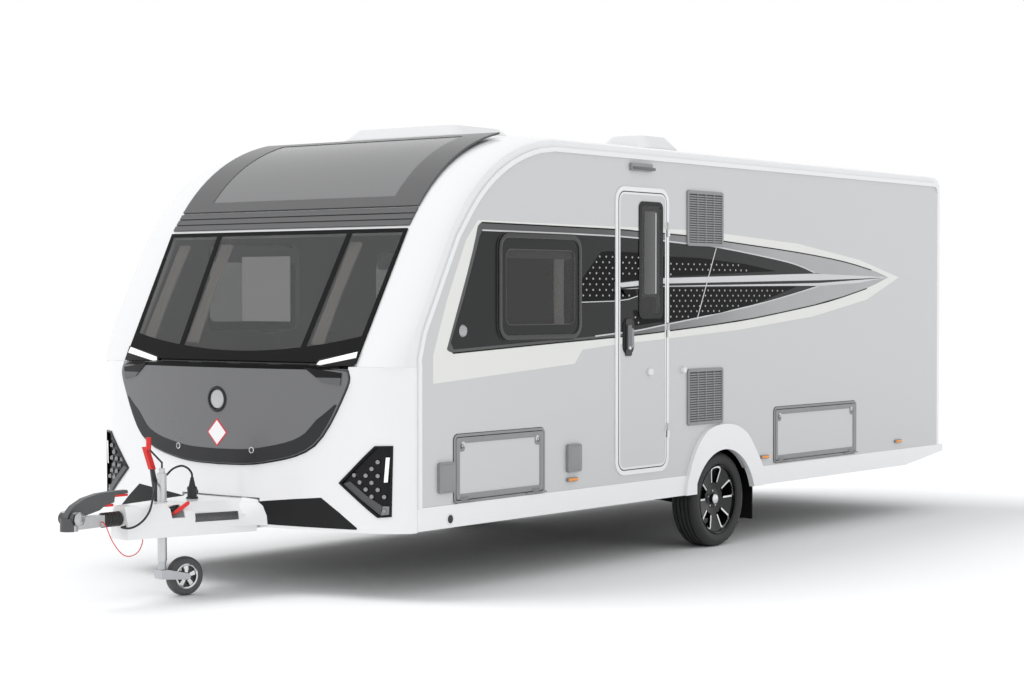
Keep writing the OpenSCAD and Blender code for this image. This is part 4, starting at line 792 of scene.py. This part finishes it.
# Door. A white outline and a dark seal mark it in the grey wall; the handle sits in a black
# moulded plate, and round white stops stand on door and wall.
door_box = (*DOOR, 0.547, 2.175)
rim("door_edge_trim", grown(door_box, -0.0062, 0.0538), grown(door_box, -0.019, 0.041),
    0.0062, 0.0082, trim_white, "entry_door")
bead("door_seal", grown(door_box, -0.003, 0.057), 0.0035, 0.0048, seal_black)
plate("door_handle_plate", (1.018, 1.134, 1.222, 1.438, 0.054), 0.0062, 0.0108, black_plastic,
      "entry_door", 0.0015)
plate("door_handle_grip", (1.028, 1.082, 1.262, 1.376, 0.012), 0.0105, 0.0175, satin_grey,
      "entry_door", 0.002)
button("door_knob", 0.859, HALF + 0.0062, 1.115,
       [(0.019, 0.0), (0.021, 0.006), (0.021, 0.013), (0.016, 0.018), (0.003, 0.019)],
       trim_white, "entry_door", 28)
black_satin = finish("black_satin", (0.02, 0.02, 0.021), 0.38)
dress(black_satin, "door_fittings")
paint(black_satin, (0.8, 0.8, 0.8), (0.8, 1, 1.0), (0.9, 1.3, 1.16))
paint(black_satin, (0.16, 0.16, 0.17), (1.0, 1.157, 1.2), (1.15, 1.3, 1.5))
button("door_lock", 1.077, HALF + 0.0225, 1.262, [(0.0, 0.003), (0.008, 0.003), (0.010, 0.0)],
       chrome, "entry_door", 20)
rim("door_window_print", (0.7145, 0.9675, 1.4305, 2.1195, 0.039),
    (0.74, 0.942, 1.457, 2.094, 0.02), 0.0114, 0.0120, graphic_dark, "entry_door")
piece("door_blind", *box_mesh((0.735, HALF - 0.02, 1.56), (0.95, HALF - 0.012, 2.1)),
      blind_grey_painted_glow, "entry_door", bevel=0.002)
# A lighter patch on the door glass, darker towards the front, is painted light.
door_painted_light = finish("door_painted_light", (0.09, 0.09, 0.092), 0.2, relief=0.0, patches=0.0)
fade(door_painted_light, 0.80, 0.90, (0.055, 0.055, 0.056))
plate("door_glass_painted_light", (0.782, 0.915, 1.575, 2.062, 0.01), 0.0112, 0.0117, door_painted_light,
      "entry_door")
# A thin silver line down the door glass is a painted highlight.
plate("door_glass_painted_highlight", (0.789, 0.797, 1.578, 2.055, 0.003), 0.0116, 0.0124, graphic_silver,
      "entry_door")
button("door_stop_wall", 0.487, HALF + 0.0005, 1.117,
       [(0.021, 0.0), (0.021, 0.017), (0.017, 0.024), (0.004, 0.025)], trim_white)
plate("awning_lamp_lens", (0.81, 1.05, 2.302, 2.320, 0.008), 0.0205, 0.0225, trim_grey,
      bevel=0.0008)

# Service doors, their locks and seals, the vents, the inlets and the amber side markers. The
# doors' rims and locks are grey mouldings, and every key turns in a small dark barrel.
lockers = {"front": ((1.9, 2.67, 0.49, 0.825), 1), "rear": ((-1.697, -0.613, 0.498, 0.832), 1),
           "toilet": ((-2.6, -2.25, 0.56, 0.94), -1)}
for name, (box, k) in lockers.items():
    body = f"service_{name}"
    x0, x1, z0, z1 = box
    rim(f"service_trim_{name}", grown(box, -0.004, 0.016), grown(box, -0.034, 0.006),
        0.0032, 0.0075, satin_grey, body, 0.0018, k)
    for end, x in (("rear", x0 + 0.05), ("front", x1 - 0.05)):
        plate(f"service_lock_{name}_{end}",
              (x - 0.028, x + 0.028, z1 - 0.078, z1 - 0.022, 0.02), 0.0032, 0.0068,
              satin_grey, body, 0.0015, k)
        button(f"service_key_{name}_{end}", x, HALF + 0.0067, z1 - 0.05,
               [(0.0, 0.0015), (0.0075, 0.0015), (0.0085, 0.003), (0.012, 0.003),
                (0.0145, 0.0)], trim_grey, body, 20, k)
    bead(f"service_seal_{name}", grown(box, 0.0155, 0.034), 0.0008, 0.0016, seal_black, k)
for name, box in (("top", (0.036, 0.438, 1.873, 2.202)), ("low", (0.034, 0.431, 0.781, 1.117))):
    x0, x1, z0, z1 = box
    rim(f"vent_rim_{name}", grown(box, 0.004, 0.018),
        (x0 + 0.014, x1 - 0.014, z0 + 0.016, z1 - 0.016, 0.004), 0.0006, 0.0115, satin_grey,
        bevel=0.001)
    plate(f"vent_dark_{name}", (x0 + 0.013, x1 - 0.013, z0 + 0.015, z1 - 0.015, 0.004),
          0.0054, 0.0058, black_satin)
    for column in (1, 2, 3):
        x = x0 + 0.014 + column * (x1 - x0 - 0.03) / 4
        piece(f"vent_bar_{name}_{column}", *box_mesh((x - 0.003, HALF + 0.0056, z0 + 0.015),
                                                     (x + 0.003, HALF + 0.0112, z1 - 0.015)),
              satin_grey)
amber = finish("amber_lens", (0.85, 0.28, 0.01), 0.12, relief=0.0, Coat_Weight=0.5)
for side, k in SIDES:
    for number, x in enumerate((1.633, -0.477, -2.329)):
        plate(f"side_marker_{side}_{number}", (x - 0.046, x + 0.046, 0.525, 0.541, 0.007),
              0.0142, 0.0185, amber, bevel=0.0015, k=k)
for name, (x0, x1, z0, z1) in (("inlet_front", (2.686, 2.817, 0.539, 0.699)),
                               ("inlet_rear", (1.555, 1.685, 0.575, 0.732))):
    hood = []
    for n in range(9):
        turn = math.pi * n / 8
        hood.append(((x0 + x1) / 2 - math.cos(turn) * (x1 - x0 - 0.016) / 2,
                     HALF + 0.0195 + 0.006 * math.sin(turn)))
    piece(f"{name}_hood", *loft([[(x, y, z) for x, y in hood] for z in (z0 + 0.012, z1 - 0.012)]),
          satin_grey, bevel=0.001)
SKIRT_Y = 1.146
button("skirt_cap_ring", 2.715, SKIRT_Y, 0.400,
       [(0.030, 0.0), (0.030, 0.003), (0.026, 0.0045), (0.0225, 0.003), (0.0225, 0.0)],
       trim_white, steps=32)
button("skirt_cap", 2.715, SKIRT_Y + 0.0002, 0.400,
       [(0.0, 0.002), (0.014, 0.0022), (0.022, 0.001), (0.0225, 0.0)], seal_black, steps=32)

# Rear end: lamp clusters with amber and clear fields, a high brake lamp, a blank plate place
# and grab handles.
red_lens = finish("red_lens", (0.42, 0.008, 0.01), 0.08, relief=0.0, Coat_Weight=0.4)
dress(red_lens, "tail_lamps")
paint(red_lens, (0.85, 0.3, 0.02), (-3.1, -2, 0.80), (-3.0, 2, 0.95))
paint(red_lens, (0.75, 0.76, 0.78), (-3.1, -2, 0.5), (-3.0, 2, 0.645))
for side, k in SIDES:
    for number, z in enumerate((0.645, 0.80)):
        piece(f"tail_lamp_line_{side}_{number}",
              *box_mesh((-3.0628, k * 0.722, z - 0.003), (-3.0618, k * 0.878, z + 0.003)),
              black_satin)
rear_white = finish("rear_white", (0.8, 0.8, 0.8), 0.25)
dress(rear_white, "rear_fittings")
paint(rear_white, (0.4, 0.01, 0.01), (-3.1, -0.2, 2.1), (-3.0, 0.2, 2.3), Roughness=0.1)
for side, k in SIDES:
    tube(f"rear_handle_{side}", [(x, k * 0.844, z) for x, z in (
        (-3.058, 1.12), (-3.058, 1.145), (-3.0585, 1.205), (-3.058, 1.265), (-3.058, 1.29))],
         0.0035, trim_white)

# Running gear. The tyres are plain black rubber with the ring grooves of the solid, and the black
# wheels have thin machined silver edges round each of their five openings.
rubber = finish("tyre_rubber", (0.026, 0.026, 0.027), 0.62, patches=0.3, patch_scale=6)
dress(rubber, "tyre_left", "tyre_right")
alloy = finish("alloy_black", (0.006, 0.006, 0.0065), 0.2, relief=0.0, patches=0.0,
               Specular_IOR_Level=0.35)
dress(alloy, "rim_left", "rim_right")
machined = finish("machined_edge", (0.78, 0.78, 0.79), 0.2, relief=0.0, Metallic=0.85)
TYRE_Y, TYRE_R = 1.019, 0.295


def wheel_point(side, radius, turn, out):
    """A point of the wheel's face: turn is measured from its top, out from its middle plane."""
    return (radius * math.sin(turn), side * (TYRE_Y + out), TYRE_R + radius * math.cos(turn))


def face_out(radius):
    """How far the wheel's face stands from its middle plane at a radius."""
    return 0.038 + max(0.0, radius - 0.062) * 0.155 + 0.0016


for side, k in SIDES:
    parts = []
    for spoke in range(5):
        middle = 2 * math.pi * spoke / 5
        line = [(0.108, -0.285), (0.150, -0.285), (0.186, -0.283), (0.199, -0.22),
                (0.2005, -0.11), (0.201, 0.0), (0.2005, 0.11), (0.199, 0.22), (0.186, 0.283),
                (0.150, 0.285), (0.108, 0.285)]
        for (r0, a0), (r1, a1) in zip(line, line[1:]):
            p = Vector(wheel_point(k, r0, middle + a0, face_out(r0)))
            q = Vector(wheel_point(k, r1, middle + a1, face_out(r1)))
            run = (q - p).normalized()
            wide = run.cross(Vector((0, k, 0))).normalized() * 0.0055
            deep = Vector((0, k * 0.002, 0))
            p, q = p - run * 0.001, q + run * 0.001
            corners = [p - wide, p + wide, q + wide, q - wide]
            parts.append(loft([corners, [c + deep for c in corners]]))
    piece(f"wheel_edges_{side}", *several(parts), machined, f"wheel_{side}", smooth=False)
    piece(f"wheel_cap_{side}", *turned([(0.031, 0.0), (0.031, 0.003), (0.027, 0.007),
                                        (0.016, 0.0085), (0.001, 0.009)],
                                       wheel_point(k, 0, 0, 0.054), (0, k, 0), 32), chrome,
          f"wheel_{side}")
    bolts = [turned([(0.0085, 0.0), (0.0085, 0.006), (0.007, 0.008), (0.0008, 0.008)],
                    wheel_point(k, 0.05, 2 * math.pi * n / 5, 0.031),
                    (0, k, 0), 6) for n in range(5)]
    piece(f"wheel_bolts_{side}", *several(bolts), brushed, f"wheel_{side}", smooth=False)

# Chassis and drawbar metal. Rails, members, steadies and jockey are galvanised; the coupling is
# cast silver with a dark handle, and its red tips, knobs and lever follow the photograph.
ZINC = {"patches": 0.16, "patch_scale": 14.0, "Metallic": 0.9}
RED = (0.75, 0.02, 0.015)
galvanised = finish("galvanised", (0.52, 0.53, 0.55), 0.36, **ZINC)
dress(galvanised, "chassis_rails", "steady_brackets", "steady_front_left",
      "steady_front_right", "steady_rear_left", "steady_rear_right", "jockey_inner",
      "jockey_fork")
clamp_steel = finish("clamp_and_frame", (0.52, 0.53, 0.55), 0.36, **ZINC)
dress(clamp_steel, "drawbar_frame")
paint(clamp_steel, RED, (3.6, 0.105, 0.43), (3.75, 0.3, 0.55), Roughness=0.3, Metallic=0.0)
tube_steel = finish("jockey_steel", (0.6, 0.61, 0.62), 0.28, patches=0.12, patch_scale=14.0,
                    Metallic=0.9)
dress(tube_steel, "jockey_outer")
paint(tube_steel, RED, (3.7, -0.1, 0.77), (3.85, 0.1, 0.9), Roughness=0.3, Metallic=0.0)
paint(tube_steel, (0.04, 0.04, 0.04), (3.64, -0.1, 0.672), (3.85, 0.1, 0.772), Roughness=0.35,
      Metallic=0.4)
cast = finish("cast_silver", (0.55, 0.55, 0.56), 0.34, patches=0.2, patch_scale=18.0,
              Metallic=0.8)
dress(cast, "coupling")
paint(cast, (0.10, 0.10, 0.102), (4.3, -0.1, 0.3), (4.5, 0.1, 0.6), Metallic=0.7,
      Roughness=0.28)
paint(cast, (0.085, 0.086, 0.088), (3.9, -0.0195, 0.4665), (4.4, 0.0195, 0.6), Roughness=0.4,
      Metallic=0.0)
black_steel = finish("black_steel", (0.03, 0.03, 0.03), 0.4)
dress(black_steel, "axle")
lever = finish("handbrake_paint", (0.07, 0.07, 0.075), 0.4, Metallic=0.3)
dress(lever, "handbrake")
paint(lever, RED, (3.5, -0.2, 0.664), (3.8, 0.1, 0.9), Roughness=0.35, Metallic=0.0)
black_rubber = finish("black_rubber", (0.018, 0.018, 0.018), 0.5)
dress(black_rubber, "bellows", "connector")
dress(finish("jockey_tyre", (0.085, 0.085, 0.088), 0.6), "jockey_wheel")
red_trim = finish("red_trim", RED, 0.3)
for name, low, high in (("handle_tip_red", (3.923, -0.0185, 0.5475), (4.008, 0.0185, 0.5585)),
                        ("handle_foot_red", (4.02, -0.0185, 0.502), (4.07, 0.0185, 0.5155))):
    piece(name, *box_mesh(low, high), red_trim, bevel=0.001)
piece("coupling_pad_caps", *several(
    [turned([(0.034, 0.0), (0.034, 0.002), (0.02, 0.011), (0.012, 0.012), (0.011, 0.006),
             (0.0008, 0.006)], (4.278, k * 0.0605, 0.459), (0, k, 0), 32) for k in (1, -1)]),
      brushed)
tube("clamp_grip", [(3.694, 0.1195, 0.4495), (3.672, 0.136, 0.469), (3.640, 0.160, 0.498)],
     0.0105, red_trim, steps=6)
JOCKEY, SPIN, UP = (Vector((3.5459, 0.03145, 0.102)), Vector((0.2419, 0.9703, 0.0)),
                    Vector((0, 0, 1)))
for side, k in SIDES:
    ring, skin = turned([(0.066, 0.0), (0.066, 0.004), (0.062, 0.006), (0.056, 0.004),
                         (0.055, 0.0)], JOCKEY + SPIN * k * 0.0245, SPIN * k, 40)
    hub = [(ring, skin[2:])]
    root, deep = JOCKEY + SPIN * k * 0.0125, SPIN * k * 0.009
    for n in range(5):
        turn = 2 * math.pi * n / 5
        out = UP.cross(SPIN) * math.sin(turn) + UP * math.cos(turn)
        wide = out.cross(SPIN) * 0.0085
        start, end = root + out * 0.018, root + out * 0.06
        corners = [start - wide, start + wide, end + wide * 1.5, end - wide * 1.5]
        hub.append(loft([corners, [c + deep for c in corners]]))
    piece(f"jockey_hub_{side}", *several(hub), chrome, "jockey_roller")
piece("plug_ring", *turned([(0.0275, -0.004), (0.0275, 0.004), (0.0262, 0.006)],
                           (3.458, 0, 0.55), (0, 0, 1), 24),
      finish("plug_ring", (0.02, 0.02, 0.02), 0.35))

# Step pads. Dark ribbed pads lie on the slanting shoulders of the drawbar cover, one each side,
# and each rib is a little shorter than the one below it.
for side, k in SIDES:
    ribs = []
    for n in range(8):
        low = 0.397 + n * 0.0056
        top = low + 0.0048
        line = [(x, 0.062 + (3.965 - x) * 0.319) for x in (3.368 + n * 0.0006,
                                                          3.606 - n * 0.0006)]
        ribs.append(loft([[(x, k * (y + d), z) for (x, y), z in zip(line + line[::-1],
                                                                    (low, low, top, top))]
                          for d in (-0.008, 0.0022)]))
    piece(f"step_pad_{side}", *several(ribs), foot_grey, bevel=0.0006)

# Cords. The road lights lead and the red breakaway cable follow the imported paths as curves.
def free_cord(name, node, points, radius, material):
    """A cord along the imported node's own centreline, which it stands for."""
    line = [Vector(p) / 1000.0 for p in curve_through(points, 4)]
    thing = tube(name, [tuple(p) for p in line], radius, material, steps=6)
    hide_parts(node)


free_cord("lead_cord", "lead", [(3965.15, 46, 396), (3975, 46, 396), (3988, 48, 396),
                                (4003, 62, 396), (3986, 92, 392), (3954, 110, 402),
                                (3921, 125, 426), (3881, 121, 458), (3846, 104, 489),
                                (3778, 52, 548), (3712, -6, 582), (3692, -33, 596),
                                (3653, -40, 612), (3606, -38, 628), (3578, -20, 660),
                                (3536, 0, 675), (3490, 0, 660), (3464, 0, 636), (3458, 0, 620),
                                (3458, 0, 610.2)], 0.0055, black_rubber)
free_cord("breakaway_cord", "breakaway_cable",
          [(4110, 30.9, 430), (4110, 36, 430), (4110, 42, 430), (4096, 52, 402),
           (4060, 54, 330), (4000, 56, 262), (3940, 54, 244), (3880, 48, 262), (3850, 45, 305),
           (3850, 45, 325), (3850, 45, 344.85)], 0.0025, red_trim)

# Inside. Plywood furniture, a dark floor, padded benches, curtains and pale blinds show through
# the tinted glass. The cushions are stuffed cloth, and the curtains hang in gathers.
board = finish("plywood", (0.42, 0.35, 0.27), 0.45, patches=0.15, patch_scale=5.0)
dress(board, "cabin_furniture")
dress(finish("floor_board", (0.06, 0.055, 0.05), 0.6), "floor_panel")
tub_plastic = finish("tub_plastic", (0.62, 0.62, 0.62), 0.5)
dress(tub_plastic, "gas_locker")
paint(tub_plastic, (0.006, 0.006, 0.006), (3.0, -0.9, 1.17), (3.35, 0.9, 1.26))
cloth = finish("seat_cloth", (0.34, 0.32, 0.29), 0.85, patches=0.1, grain=900.0, relief=0.3)


def cushion(name, low, high):
    """A stuffed cushion with bulging faces and soft corners."""
    puff = 0.018
    made = bmesh.new()
    bmesh.ops.create_cube(made, size=2.0)
    bmesh.ops.subdivide_edges(made, edges=made.edges[:], cuts=5, use_grid_fill=True)
    size = [(b - a) / 2 for a, b in zip(low, high)]
    middle = [(a + b) / 2 for a, b in zip(low, high)]
    vertices = []
    for v in made.verts:
        u = list(v.co)
        swell = [1 - abs(c) ** 4 for c in u]
        points = []
        for axis in range(3):
            others = [swell[i] for i in range(3) if i != axis]
            corner = 1 - 0.035 * (sum(abs(u[i]) ** 6 for i in range(3)) - 1)
            points.append(middle[axis] + u[axis] * corner * (size[axis] - puff)
                          + (puff * others[0] * others[1] if u[axis] > 0.99 else
                             -puff * others[0] * others[1] if u[axis] < -0.99 else 0))
        vertices.append(tuple(points))
    made.verts.index_update()
    faces = [tuple(v.index for v in f.verts) for f in made.faces]
    made.free()
    thing = piece(name, vertices, faces, cloth)


for side, k in SIDES:
    for number, (x0, x1) in enumerate(((1.352, 1.938), (1.942, 2.528))):
        y0, y1 = sorted((k * 0.562, k * 0.945))
        cushion(f"seat_{side}_{number}", (x0, y0, 0.8815), (x1, y1, 1.02))
        y0, y1 = sorted((k * 0.84, k * 0.948))
        cushion(f"seat_back_{side}_{number}", (x0, y0, 1.024), (x1, y1, 1.36))
cushion("bunk_mattress", (-1.738, 0.562, 0.8815), (-0.522, 1.105, 1.02))

# The curtain cloth glows faintly: painted light for the daylight that reaches it through the
# glass.
curtain_cloth_painted_glow = finish("curtain_cloth_painted_glow", (0.62, 0.6, 0.56), 0.9, patches=0.05, grain=700.0,
                       relief=0.2, Emission_Color=(0.6, 0.58, 0.54, 1),
                       Emission_Strength=0.2)


def curtain(name, foot, head, width, folds):
    """A gathered curtain between two points of its middle line, its folds running up."""
    count, rows = folds * 8, 14
    foot, head = Vector(foot), Vector(head)
    up = head - foot
    across = Vector((0, 1, 0)) if abs(up.y) < 0.2 and abs(foot.y) < 1.0 else Vector((1, 0, 0))
    out = up.cross(across).normalized()
    vertices, faces = [], []
    for r in range(rows + 1):
        t = r / rows
        for c in range(count + 1):
            s = c / count - 0.5
            wave = 0.012 * math.sin(2 * math.pi * folds * s + 0.8 * math.sin(3 * t))
            vertices.append(tuple(foot + up * t + across * s * width * (1 - 0.15 * math.sin(
                math.pi * t)) + out * wave))
    for r in range(rows):
        for c in range(count):
            a = r * (count + 1) + c
            faces.append((a, a + 1, a + count + 2, a + count + 1))
    thing = piece(name, vertices, faces, curtain_cloth_painted_glow)


RAKE = math.radians(28.42)


def behind_glass(y, s, depth):
    """A point behind the raked front glass, s up its slope and depth inside."""
    return (GLASS_X - s * math.sin(RAKE) - depth * math.cos(RAKE), y,
            GLASS_Z + s * math.cos(RAKE) - depth * math.sin(RAKE))


for number, (y0, y1) in enumerate(((-0.83, -0.83), (-0.47, -0.49), (0.47, 0.49), (0.83, 0.83))):
    curtain(f"front_curtain_{number}", behind_glass(y0, 0.16, 0.07),
            behind_glass(y1, 0.78, 0.07), 0.085, 3)
for number, x in enumerate((1.66, 2.2)):
    curtain(f"side_curtain_{number}", (x, 1.08, 1.40), (x, 1.08, 1.86), 0.1, 3)
# The pale blind behind the front glass glows: painted light for the daylight that falls on it
# inside.
piece("cabin_blind", *box_mesh((2.545, -0.521, 1.42), (2.56, -0.151, 1.788)),
      finish("blind_pale_painted_glow", (0.55, 0.55, 0.54), 0.7, relief=0.1,
             Emission_Color=(0.7, 0.7, 0.69, 1), Emission_Strength=0.5), bevel=0.004)
piece("roof_blind", *slab([(1.9, 2.33), (2.0, 2.365), (2.4, 2.24), (2.58, 2.06), (2.56, 2.05),
                           (2.39, 2.225), (1.99, 2.345), (1.9, 2.315)], -0.66, 0.66),
      finish("roof_blind", (0.1, 0.1, 0.102), 0.7), bevel=0.002)
